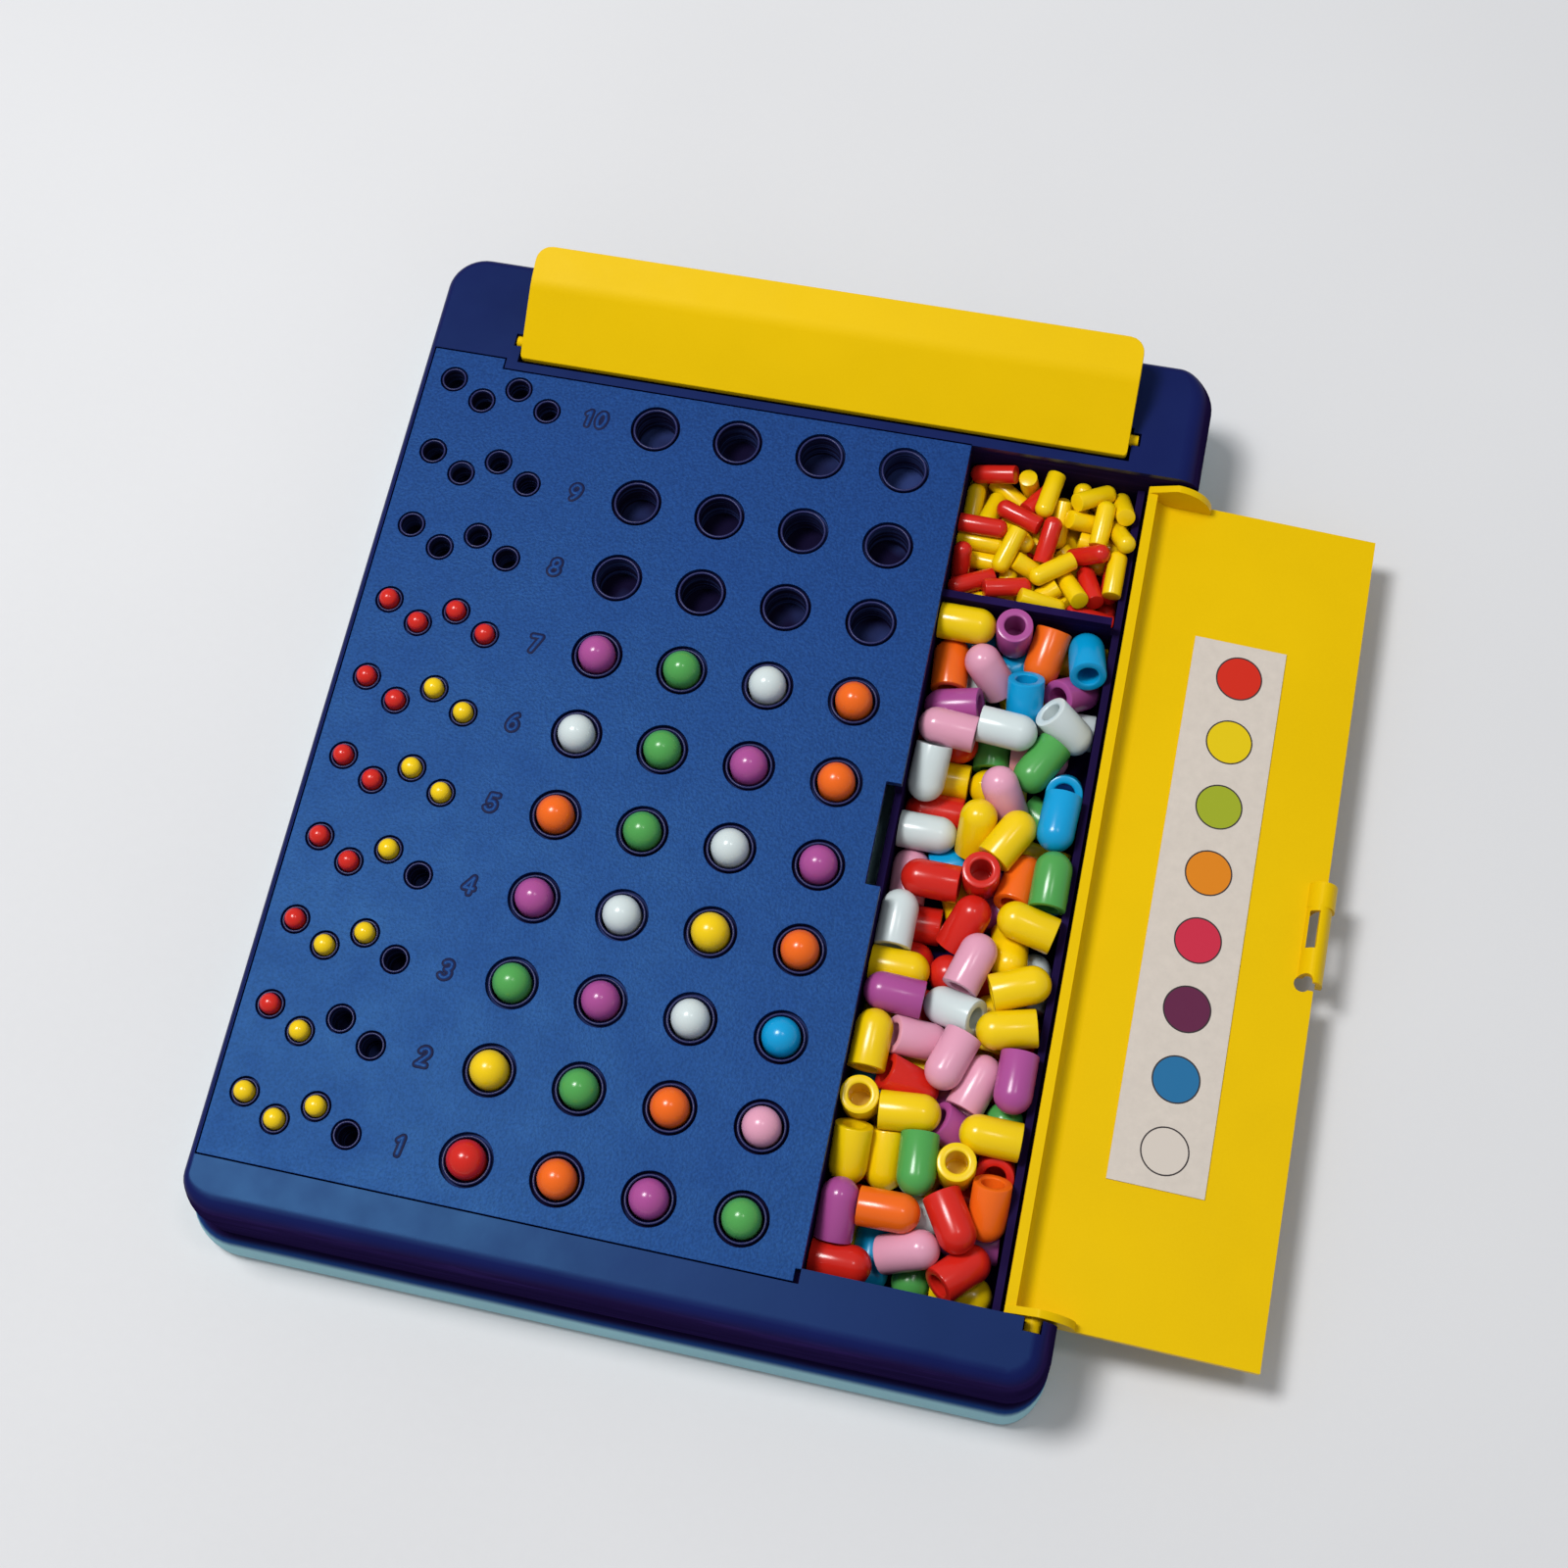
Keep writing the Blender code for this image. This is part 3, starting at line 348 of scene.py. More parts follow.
def lathe(profile, sides, cx=0.0, cy=0.0):
    """A closed turned solid from (radius, height) pairs that start and end on the axis or ring shut."""
    points, faces, rings = [], [], []
    for radius, height in profile:
        if radius < 1e-6:
            points.append((cx, cy, height))
            rings.append([len(points) - 1])
            continue
        first = len(points)
        for i in range(sides):
            t = 2 * math.pi * i / sides
            points.append((cx + radius * math.cos(t), cy + radius * math.sin(t), height))
        rings.append(list(range(first, first + sides)))
    for low, high in zip(rings, rings[1:]):
        for i in range(sides):
            j = (i + 1) % sides
            if len(low) == 1:
                faces.append((low[0], high[j], high[i]))
            elif len(high) == 1:
                faces.append((low[i], low[j], high[0]))
            else:
                faces.append((low[i], low[j], high[j], high[i]))
    return points, faces


def cylinders(centres, radius, z0, z1, sides):
    profile = [(0, z0), (radius, z0), (radius, z1), (0, z1)]
    return [lathe(profile, sides, x, y) for x, y in centres]


def boolean(item, parts, operation="DIFFERENCE"):
    """Cuts the parts out of the item, or joins them to it, at once."""
    tool = make("tool", parts, None, body=None)
    step = item.modifiers.new("step", "BOOLEAN")
    step.operation = operation
    step.solver = "EXACT"
    step.use_self = True
    step.object = tool
    settle_modifiers(item)
    bpy.data.objects.remove(tool, do_unlink=True)


def settle_modifiers(item):
    graph = bpy.context.evaluated_depsgraph_get()
    graph.update()
    baked = bpy.data.meshes.new_from_object(item.evaluated_get(graph))
    item.modifiers.clear()
    old = item.data
    item.data = baked
    bpy.data.meshes.remove(old)


def round_edges(item, width, angle=40, smooth=35):
    """Small moulded radii on the sharp edges."""
    shape = bmesh.new()
    shape.from_mesh(item.data)
    bmesh.ops.remove_doubles(shape, verts=shape.verts, dist=0.004 * MM)
    flat = math.radians(0.6)
    bmesh.ops.dissolve_limit(shape, angle_limit=flat, verts=shape.verts, edges=shape.edges)
    shape.to_mesh(item.data)
    shape.free()
    step = item.modifiers.new("radii", "BEVEL")
    step.width = width * MM
    step.segments = 2
    step.limit_method = "ANGLE"
    step.angle_limit = math.radians(angle)
    step.use_clamp_overlap = True
    step.harden_normals = False
    step.miter_outer = "MITER_ARC"
    settle_modifiers(item)
    shade(item, smooth)
    step = item.modifiers.new("normals", "WEIGHTED_NORMAL")
    step.mode = "FACE_AREA"
    step.weight = 100
    step.keep_sharp = True
    settle_modifiers(item)


# Materials


class Nodes:
    """Short names for the nodes that the plastics share."""

    def __init__(self, name):
        self.material = bpy.data.materials.new(name)
        self.material.use_nodes = True
        self.tree = self.material.node_tree
        self.shader = self.tree.nodes["Principled BSDF"]
        self.place = self.add("ShaderNodeTexCoord").outputs["Object"]

    def add(self, kind, **values):
        node = self.tree.nodes.new(kind)
        for key, value in values.items():
            setattr(node, key, value)
        return node

    def link(self, source, target):
        self.tree.links.new(source, target)

    def feed(self, key, value):
        """Sets an input of the shader, or links it."""
        if isinstance(value, (int, float, tuple)):
            self.shader.inputs[key].default_value = value
        else:
            self.link(value, self.shader.inputs[key])

    def noise(self, scale, detail=2.0, rough=0.5, stretch=None):
        node = self.add("ShaderNodeTexNoise")
        node.inputs["Scale"].default_value = scale
        node.inputs["Detail"].default_value = detail
        node.inputs["Roughness"].default_value = rough
        place = self.place
        if stretch:
            mapping = self.add("ShaderNodeMapping")
            mapping.inputs["Scale"].default_value = [PER_METRE * v for v in stretch]
            self.link(place, mapping.inputs["Vector"])
            place = mapping.outputs["Vector"]
        self.link(place, node.inputs["Vector"])
        return node.outputs["Fac"]

    def split(self, axis):
        """One coordinate of the place."""
        parts = self.add("ShaderNodeSeparateXYZ")
        self.link(self.place, parts.inputs[0])
        return parts.outputs[axis]

    def smooth(self, source, start, full):
        """A soft step in millimetres: nothing at the start, all of it where it is full."""
        node = self.add("ShaderNodeMapRange", interpolation_type="SMOOTHSTEP")
        low, high = min(start, full), max(start, full)
        rising = full > start
        values = (("From Min", low * MM), ("From Max", high * MM), ("To Min", not rising), ("To Max", rising))
        for key, value in values:
            node.inputs[key].default_value = float(value)
        self.link(source, node.inputs["Value"])
        return node.outputs["Result"]

    def spread(self, source, low, high, start=0.3, end=0.7):
        """Maps a noise to a range."""
        node = self.add("ShaderNodeMapRange")
        for key, value in (("From Min", start), ("From Max", end), ("To Min", low), ("To Max", high)):
            node.inputs[key].default_value = value
        self.link(source, node.inputs["Value"])
        return node.outputs["Result"]

    def work_out(self, operation, *values):
        node = self.add("ShaderNodeMath", operation=operation)
        for slot, value in enumerate(values):
            if isinstance(value, (int, float)):
                node.inputs[slot].default_value = value
            else:
                self.link(value, node.inputs[slot])
        return node.outputs[0]

    def mix(self, factor, first, second):
        node = self.add("ShaderNodeMix", data_type="RGBA")
        self.link(factor, node.inputs["Factor"])
        for key, value in (("A", first), ("B", second)):
            socket = [s for s in node.inputs if s.name == key and s.type == "RGBA"][0]
            if isinstance(value, tuple):
                socket.default_value = (*value, 1)
            else:
                self.link(value, socket)
        return [s for s in node.outputs if s.type == "RGBA"][0]

    def bump(self, height, distance):
        node = self.add("ShaderNodeBump")
        node.inputs["Distance"].default_value = distance * MM
        node.inputs["Strength"].default_value = 1.0
        self.link(height, node.inputs["Height"])
        return node.outputs["Normal"]


def tint(colour, factor):
    return tuple(min(1.0, c * factor) for c in colour)


def plastic(
    name, colour, rough, variation=0.06, ripple=0.012,
    grain=None, deep=None, below=None, specular=0.5, sheen=(1, 1, 1),
):
    """A moulded plastic: cloudy colour, uneven gloss, faint ripple, a fine grain if asked for, and painted
    shade below a height if asked for.

    grain = (size, relief, share of the deep colour), lengths in millimetres.
    below = painted shade: (shade colour, colour of the faint painted highlight rings, height where the shade
    begins to show, height where it is full), heights in millimetres: the plastic is painted in the shade
    colour, ringed with the painted highlight, and dull there. sheen is the tint of what it reflects.
    """
    nodes = Nodes(name)
    cloud = nodes.noise(scale=38, detail=4)
    dark, light = tint(colour, 1 - variation), tint(colour, 1 + variation)
    surface = nodes.mix(nodes.spread(cloud, 0, 1), dark, light)
    nodes.feed("Specular IOR Level", specular)
    if below:
        # Painted shade: below a height the colour turns to a shade colour, ringed with faint painted
        # highlight streaks
        shadow, highlight_streak, start, full = below
        depth = nodes.smooth(nodes.split("Z"), start, full)
        bands = nodes.noise(scale=1.1, detail=3, rough=0.7, stretch=(0.03, 0.03, 1))
        ringed = nodes.mix(nodes.spread(bands, 0, 1, start=0.48, end=0.64), shadow, highlight_streak)
        surface = nodes.mix(depth, surface, ringed)
        nodes.feed("Specular IOR Level", nodes.spread(depth, specular, 0, start=0, end=1))
    if grain:
        size, relief, speckle = grain
        pebble = nodes.noise(scale=PER_METRE / size, detail=2.5, rough=0.6)
        surface = nodes.mix(nodes.spread(pebble, 0, speckle, start=0.35, end=0.7), surface, deep)
        normal = nodes.bump(pebble, relief)
    else:
        normal = nodes.bump(nodes.noise(scale=900, detail=3), ripple)
    nodes.feed("Base Color", surface)
    smear = nodes.work_out("MULTIPLY", nodes.noise(scale=120, detail=3), 0.5)
    smear = nodes.work_out("ADD", smear, nodes.work_out("MULTIPLY", cloud, 0.5))
    nodes.feed("Roughness", nodes.spread(smear, *rough))
    nodes.feed("Normal", normal)
    nodes.feed("Specular Tint", (*sheen, 1))
    return nodes.material


def tray_plastic():
    # Painted shade: below the deck's edge the tray, its sides and its wells turn to a dark shade colour and
    # lose their gloss, with faint lighter painted rings
    below = (SHADE_NAVY, tint(SHADE_NAVY, 1.5), *TRAY_SHADE_HEIGHTS)
    return plastic("tray_gloss", NAVY, (0.32, 0.42), 0.1, 0.006, below=below, specular=0.3, sheen=SKY)


def panel_plastic():
    return plastic("panel_grain", BLUE, (0.42, 0.52), grain=(0.55, 0.07, 0.9), deep=BLUE_GRAIN, sheen=SKY)


def socket_plastic():
    # Painted shade: the grooves and cups darken to the shadow colour, ringed with painted highlight streaks
    below = (CUP_SHADOW, CUP_HIGHLIGHT_STREAK, *SOCKET_SHADE_HEIGHTS)
    return plastic("socket_gloss", SOCKET_BLUE, (0.3, 0.4), 0.1, 0.003, below=below, specular=0.3)


def numeral_plastic():
    # Painted shade: the dark colour of the outline ridges around the raised numerals
    return plastic("numeral_edge", NUMERAL_SHADE, (0.5, 0.6), 0.1, 0.003, specular=0.1)


def yellow_plastic():
    return plastic(
        "yellow_satin", YELLOW, (0.36, 0.46), 0.03,
        grain=(0.5, 0.012, 0.18), deep=YELLOW_GRAIN, specular=0.14, sheen=YELLOW_SHEEN,
    )


def peg_plastic(name):
    return plastic(f"{name}_gloss", PEG_COLOURS[name], (0.18, 0.28), 0.03, 0.006, specular=0.42)


def cover_plastic():
    """The bottom cover, coloured by height: pale light blue at the table, which also stands in for a painted
    reflection of the pale floor, through blue to painted shade at its seam with the tray.
    """
    nodes = Nodes("cover_gloss")
    cloud = nodes.noise(scale=30, detail=4)
    height = nodes.work_out("ADD", nodes.split("Z"), nodes.work_out("MULTIPLY", cloud, 0.8 * MM))
    base = nodes.mix(nodes.spread(cloud, 0, 1), tint(COVER_PALE_REFLECTION, 0.94), tint(COVER_PALE_REFLECTION, 1.06))
    pale, blue, dark = COVER_LIGHT_AND_SHADE_HEIGHTS
    blend = nodes.mix(nodes.smooth(height, pale, blue), base, COVER_BLUE)
    nodes.feed("Base Color", nodes.mix(nodes.smooth(height, blue, dark), blend, SHADE_NAVY))
    nodes.feed("Roughness", nodes.spread(nodes.noise(scale=160, detail=3), 0.45, 0.55))
    nodes.feed("Normal", nodes.bump(nodes.noise(scale=900, detail=3), 0.012))
    # No gloss: the pale colour stands in for the reflection
    nodes.feed("Specular IOR Level", 0.0)
    return nodes.material


def paper():
    """The printed strip: eight outlined dots on a pale ground."""
    nodes = Nodes("strip_print")
    x, y = nodes.split("X"), nodes.split("Y")
    fibre = nodes.noise(scale=420, detail=5, rough=0.7)
    colour = nodes.mix(nodes.spread(fibre, 0, 1), tint(PAPER, 0.95), tint(PAPER, 1.04))
    middle = (len(STRIP_DOTS) - 1) / 2
    for index, dot in enumerate(STRIP_DOTS):
        dot_y = STRIP_Y + (middle - index) * DOT_PITCH
        across = nodes.work_out("MULTIPLY", nodes.work_out("SUBTRACT", x, DOT_X * MM), PER_METRE)
        along = nodes.work_out("MULTIPLY", nodes.work_out("SUBTRACT", y, dot_y * MM), PER_METRE)
        across_square = nodes.work_out("MULTIPLY", across, across)
        along_square = nodes.work_out("MULTIPLY", along, along)
        away = nodes.work_out("SQRT", nodes.work_out("ADD", across_square, along_square))
        ring = nodes.spread(away, 1, 0, DOT_RADIUS, DOT_RADIUS + DOT_SOFTNESS)
        colour = nodes.mix(ring, colour, DOT_INK)
        fill = nodes.spread(away, 1, 0, DOT_RADIUS - RING_INNER, DOT_RADIUS - RING_OUTER)
        colour = nodes.mix(fill, colour, dot)
    nodes.feed("Base Color", colour)
    nodes.feed("Roughness", nodes.spread(fibre, 0.42, 0.58))
    nodes.feed("Specular IOR Level", 0.12)
    nodes.feed("Normal", nodes.bump(fibre, 0.015))
    return nodes.material


def floor_material():
    """Pale paper that stays pale far from the lamps, for the camera only."""
    nodes = Nodes("floor_paper")
    nodes.feed("Base Color", nodes.mix(nodes.spread(nodes.noise(scale=6, detail=4), 0, 1), *FLOOR_COLOURS))
    nodes.feed("Roughness", nodes.spread(nodes.noise(scale=500, detail=3), 0.75, 0.9))
    nodes.feed("Normal", nodes.bump(nodes.noise(scale=1400, detail=3), 0.02))
    away = nodes.add("ShaderNodeVectorMath", operation="LENGTH")
    nodes.link(nodes.place, away.inputs[0])
    far = nodes.smooth(away.outputs["Value"], *FLOOR_FADE)
    seen = nodes.add("ShaderNodeLightPath").outputs["Is Camera Ray"]
    glow = nodes.work_out("MULTIPLY", nodes.work_out("MULTIPLY", far, seen), 0.52)
    nodes.feed("Emission Strength", glow)
    nodes.feed("Emission Color", (*FLOOR_GLOW, 1))
    return nodes.material


# Housing


def edge_inset(radius, z):
    rise = min(max(z - (TOP - radius), 0), radius)
    return radius - math.sqrt(radius**2 - rise**2)


def edge_heights(radius, steps):
    return {TOP - radius * (1 - math.sin(math.radians(90 * i / steps))) for i in range(steps + 1)}


def outline_ring(z, left, right, front, rear):
    """The tray's outline at a height, drawn in by an inset on each side."""
    corners = (
        (1, -1, right, front, -90),
        (1, 1, right, rear, 0),
        (-1, 1, left, rear, 90),
        (-1, -1, left, front, 180),
    )
    points = []
    for side_x, side_y, inset_x, inset_y, start in corners:
        rx = max(CORNER - inset_x, LEAST_CORNER)
        ry = max(CORNER - inset_y, LEAST_CORNER)
        cx = side_x * (RIGHT - inset_x - rx)
        cy = side_y * (REAR - inset_y - ry)
        points += [(x, y, z) for x, y in arc(cx, cy, rx, ry, start, start + 90, CORNER_STEPS)]
    return points


def even_ring(z, inset):
    return outline_ring(z, inset, inset, inset, inset)


def make_cover(material):
    outer = []
    for i in range(COVER_EDGE_STEPS):
        t = math.radians(90 * i / COVER_EDGE_STEPS)
        inset = COVER_EDGE * (1 - math.sin(t))
        z = COVER_EDGE * (1 - math.cos(t))
        outer.append(outline_ring(z, inset - LEFT_REACH, inset, inset - FRONT_REACH, inset))
    for i in range(COVER_STEPS + 1):
        t = math.radians(90 * i / COVER_STEPS)
        inset = COVER_LIP_INSET if i == COVER_STEPS else 0.0
        left = inset - LEFT_REACH * math.cos(t)
        front = inset - FRONT_REACH * math.cos(t)
        z = COVER_EDGE + (COVER_HEIGHT - COVER_EDGE) * math.sin(t)
        outer.append(outline_ring(z, left, inset, front, inset))
    inner = [even_ring(z, COVER_WALL) for z in (COVER_HEIGHT, COVER_WALL)]
    make("cover", [loft(outer + inner)], material, replaces=("bottom_cover",))


def tray_blank(material):
    """The tray's outside, with a wide edge at the front and right and a narrow one elsewhere."""
    rings = [even_ring(SPLIT, FOOT_CHAMFER), even_ring(SPLIT + FOOT_CHAMFER, 0)]
    heights = edge_heights(WIDE_EDGE, WIDE_EDGE_STEPS) | edge_heights(NARROW_EDGE, NARROW_EDGE_STEPS)
    last = 0.0
    for z in sorted(heights):
        if z - last < HAIR:
            continue
        last = z
        wide, narrow = edge_inset(WIDE_EDGE, z), edge_inset(NARROW_EDGE, z)
        rings.append(outline_ring(z, narrow, wide, wide, narrow))
    return make("tray", [loft(rings)], material, replaces=("base_tray",))


def pin_slot(across, height, radius, steps):
    """A round-bottomed slot for a pin, open at the top."""
    high = TOP + OVERRUN
    round_end = arc(across, height, radius, radius, 180, 360, steps)
    return [(across - radius, high)] + round_end + [(across + radius, high)]


def storage_cuts():
    """The two wells, what stands low between them, and the lid's channel."""
    high, out = TOP + OVERRUN, RIGHT + OVERRUN
    side = (WELL_LEFT, WELL_RIGHT)
    ends = (WELL_FRONT, WELL_REAR)
    divider = (DIVIDER_FRONT - BITE, DIVIDER_REAR + BITE)
    return [
        box(*side, WELL_FRONT, DIVIDER_FRONT, WELL_FLOOR, high),
        box(*side, DIVIDER_REAR, WELL_REAR, WELL_FLOOR, high),
        box(WELL_LEFT - HAIR / 2, WELL_RIGHT, *divider, TOP - LOW_STEP, high),
        box(WELL_RIGHT - BITE, CHANNEL_LEFT + BITE, *ends, INNER_TOP, high),
        box(CHANNEL_LEFT, out, *ends, LEDGE_TOP, high),
    ]


def deck_cuts():
    """The shield's trough, the panel's seat and the hollow under it, and the latch's recess."""
    high = TOP + OVERRUN
    seat = TOP - PANEL_PLATE - PANEL_GAP
    left = PANEL_LEFT - PANEL_GAP
    trough = (SHIELD_LEFT - TROUGH_GAP, SHIELD_RIGHT + TROUGH_GAP, TROUGH_FRONT, TROUGH_REAR)
    hollow_x = (PANEL_LEFT + PANEL_LEDGE, WELL_LEFT - WELL_WALL)
    hollow_y = (PANEL_FRONT + PANEL_LEDGE, SHORT_REAR - REAR_LEDGE)
    recess_x = (WELL_LEFT - RECESS_WIDTH, WELL_LEFT + MARGIN)
    recess_y = (LATCH_FRONT - LATCH_GAP, LATCH_REAR + LATCH_GAP)
    return [
        box(*trough, TOP - TROUGH_DEPTH, high),
        box(left, PANEL_RIGHT, PANEL_FRONT - PANEL_GAP, SHORT_REAR + PANEL_GAP, seat, high),
        box(left, STEP_X + PANEL_GAP, SHORT_REAR, PANEL_REAR + PANEL_GAP, seat, high),
        box(*hollow_x, *hollow_y, WELL_FLOOR, high),
        box(*recess_x, *recess_y, TOP - RECESS_DEPTH, high),
    ]


def pin_cuts():
    """Open slots for three of the pins, and a closed bore for the lid's rear one."""
    lid_slot = pin_slot(HINGE_X, HINGE_Z, LID_PIN_SLOT, 14)
    shield_slot = pin_slot(PIVOT_Y, PIVOT_Z, SHIELD_SLOT, 12)
    lid_bore = circle(HINGE_X, HINGE_Z, LID_PIN_SLOT)
    return [
        along_y(lid_slot, WELL_FRONT - LID_PIN_REACH, WELL_FRONT + MARGIN),
        along_y(lid_bore, WELL_REAR - MARGIN, WELL_REAR + LID_PIN_REACH),
        along_x(shield_slot, SHIELD_LEFT - SLOT_DEPTH, SHIELD_LEFT),
        along_x(shield_slot, SHIELD_RIGHT, SHIELD_RIGHT + SLOT_DEPTH),
    ]


def make_tray(material):
    tray = tray_blank(material)
    foot_y = (WELL_FRONT - WELL_WALL, WELL_REAR + WELL_WALL)
    foot_z = (WELL_FLOOR - WELL_WALL, SPLIT + MARGIN)
    boolean(tray, [box(WELL_LEFT - WELL_WALL, CHANNEL_LEFT, *foot_y, *foot_z)], "UNION")
    secret = [(x, SECRET_Y) for x in COLUMNS]
    cuts = storage_cuts() + deck_cuts() + pin_cuts()
    cuts += cylinders(secret, SECRET_RADIUS, SOCKET_FLOOR, TOP + OVERRUN, SECRET_SIDES)
    for part in cuts:
        boolean(tray, [part])
    round_edges(tray, TRAY_RADII)


# Panel


def socket(x, y, hole, rim, bore, sides):
    """A cup with a thin round rim standing in a groove, both darkened by the socket plastic's painted shade.
    """
    crest, half = (rim + bore) / 2, (rim - bore) / 2
    base, groove = SOCKET_FLOOR - SOCKET_BASE, TOP - GROOVE_DEPTH
    profile = [
        (0, base),
        (hole - 0.35, base),
        (hole - 0.05, base + 0.3),
        (hole - HAIR, groove),
        (rim + HAIR, groove),
        (rim, TOP - 0.3),
    ]
    profile += arc(crest, TOP - half - HAIR, half, half, 0, 180, 8)
    profile += [(bore - 0.04, SOCKET_FLOOR + 0.25), (bore - 0.3, SOCKET_FLOOR), (0, SOCKET_FLOOR)]
    return lathe(profile, sides, x, y)


def panel_outline():
    """The panel's outline, from its front left corner."""
    corner_x, corner_y = PANEL_RIGHT - NOTCH_X, PANEL_FRONT + NOTCH_Y
    notch = PANEL_RIGHT - LATCH_NOTCH
    notch_front, notch_rear = LATCH_FRONT - LATCH_GAP, LATCH_REAR + LATCH_GAP
    return [
        (PANEL_LEFT, PANEL_FRONT),
        (corner_x, PANEL_FRONT),
        (corner_x, corner_y),
        (PANEL_RIGHT, corner_y),
        (PANEL_RIGHT, notch_front),
        (notch, notch_front),
        (notch, notch_rear),
        (PANEL_RIGHT, notch_rear),
        (PANEL_RIGHT, SHORT_REAR),
        (STEP_X, SHORT_REAR),
        (STEP_X, PANEL_REAR),
        (PANEL_LEFT, PANEL_REAR),
    ]


def make_panel(material, dark):
    plate = loft([[(x, y, z) for x, y in panel_outline()] for z in (TOP - PANEL_PLATE, TOP)])
    panel = make("panel", [plate], material, replaces=("peg_panel",))
    codes = [(x, y) for y in ROWS for x in COLUMNS]
    keys = [(x, y + shift) for y in ROWS for x, shift in KEYS]
    bottom, top = TOP - PANEL_PLATE - MARGIN, TOP + MARGIN
    holes, cups = [], []
    for centres, sizes in ((codes, CODE_SOCKET), (keys, KEY_SOCKET)):
        holes += cylinders(centres, sizes[0], bottom, top, sizes[-1])
        cups += [socket(x, y, *sizes) for x, y in centres]
    boolean(panel, holes)
    round_edges(panel, PANEL_RADII)
    make("panel_sockets", cups, dark, smooth=50)


def digit_lines(digit):
    """The centre lines of a rounded digit, in a cell 2 wide and as high as a digit."""
    top = DIGIT_HEIGHT
    return {
        "0": [arc(1.0, top / 2, 0.85, top / 2, 90, 450, 24)],
        "1": [[(0.45, 2.65), (1.15, top), (1.15, 0)]],
        "2": [arc(1.0, 2.4, 0.9, 0.9, 165, -30, 12) + [(0.15, 0), (1.95, 0)]],
        "3": [arc(0.9, 2.5, 0.8, 0.8, 150, -90, 12) + arc(0.85, 0.85, 0.95, 0.85, 90, -150, 14)],
        "4": [[(1.4, 0), (1.4, top), (0.05, 1.05), (2.0, 1.05)]],
        "5": [[(1.8, top), (0.45, top), (0.3, 1.8)] + arc(0.9, 1.0, 1.0, 1.0, 115, -150, 16)],
        "6": [arc(2.0, 1.0, 1.9, 2.4, 112, 180, 10) + arc(0.98, 0.95, 0.88, 0.95, 180, -180, 24)],
        "7": [[(0.1, top), (1.9, top), (0.75, 0)]],
        "8": [arc(1.0, 2.5, 0.72, 0.8, 270, -90, 20), arc(1.0, 0.85, 0.92, 0.85, 90, 450, 22)],
        "9": [arc(0.0, 2.3, 1.9, 2.4, -68, 0, 10) + arc(1.02, 2.35, 0.88, 0.95, 0, 360, 24)],
    }[digit]


def ridge(line, half_width, height, base):
    """A round-backed ridge with round ends and corners along a flat line."""
    steps = [Vector(b) - Vector(a) for a, b in zip(line, line[1:])]
    turns = [math.atan2(step.y, step.x) for step in steps]
    stations = [(line[0], turns[0], -90 + 22.5 * i) for i in range(1, 4)]
    for i, point in enumerate(line):
        before, after = turns[max(i - 1, 0)], turns[min(i, len(turns) - 1)]
        swing = (after - before + math.pi) % (2 * math.pi) - math.pi
        parts = 1 + int(abs(swing) / 0.4)
        stations += [(point, before + swing * k / parts, 0) for k in range(parts + 1)]
    stations += [(line[-1], turns[-1], 22.5 * i) for i in range(1, 4)]
    rings = []
    for (x, y), turn, end in stations:
        reach = half_width * math.sin(math.radians(end))
        size = math.cos(math.radians(end))
        x, y = x + reach * math.cos(turn), y + reach * math.sin(turn)
        ring = []
        for across, up in arc(0, 0, half_width * size, height * size, 180, 0, 8):
            ring.append((x + across * math.sin(turn), y - across * math.cos(turn), base + up))
        rings.append(ring)
    return loft(rings)


def number_lines(number, row_y):
    """The slanted centre lines of a number, centred on its row."""
    digits = str(number)
    half = DIGIT_HEIGHT / 2
    lines = []
    for place, digit in enumerate(digits):
        left = NUMERAL_X - DIGIT_HALF + (place - (len(digits) - 1) / 2) * NUMERAL_SPACING
        for line in digit_lines(digit):
            lines.append([(left + x + NUMERAL_SLANT * (y - half), row_y + y - half) for x, y in line])
    return lines


def make_numerals(edge, inside):
    """Row numbers one to ten, as raised rounded strokes with a dark outline ridge that is painted shade along
    their edges.
    """
    for number, row_y in enumerate(ROWS, 1):
        lines = number_lines(number, row_y)
        dark = [ridge(line, *NUMERAL_EDGE, TOP - HAIR) for line in lines]
        light = [ridge(line, *NUMERAL_INSIDE, TOP - HAIR) for line in lines]
        make(f"row_number_{number}", dark, edge, smooth=60)
        make(f"row_number_{number}_inside", light, inside, smooth=60)


# Pegs


def code_peg_profile():
    """A bored peg with a domed end, open end down."""
    r, bore = CODE_PEG_RADIUS, PEG_BORE
    shoulder = CODE_PEG_LENGTH - r
    profile = [(0, BORE_DEPTH), (bore - 0.2, BORE_DEPTH), (bore, BORE_DEPTH - 0.2)]
    profile += [(bore, 0.25), (bore + 0.18, 0.04), (bore + 0.3, 0)]
    profile += [(r - 0.29, 0), (r - 0.09, 0.08), (r, 0.28), (r, shoulder)]
    for i in range(1, 10):
        t = math.radians(90 * i / 10)
        profile.append((r * math.cos(t), shoulder + r * math.sin(t)))
    profile.append((0, CODE_PEG_LENGTH))
    return profile


def key_peg_profile():
    """A slim solid peg with a domed end."""
    r = KEY_PEG_RADIUS
    shoulder = KEY_PEG_LENGTH - KEY_PEG_DOME
    profile = [(0, 0), (r - 0.28, 0), (r - 0.08, 0.07), (r, 0.26), (r, shoulder)]
    for i in range(1, 8):
        t = math.radians(90 * i / 8)
        profile.append((r * math.cos(t), shoulder + KEY_PEG_DOME * math.sin(t)))
    profile.append((0, KEY_PEG_LENGTH))
    return profile


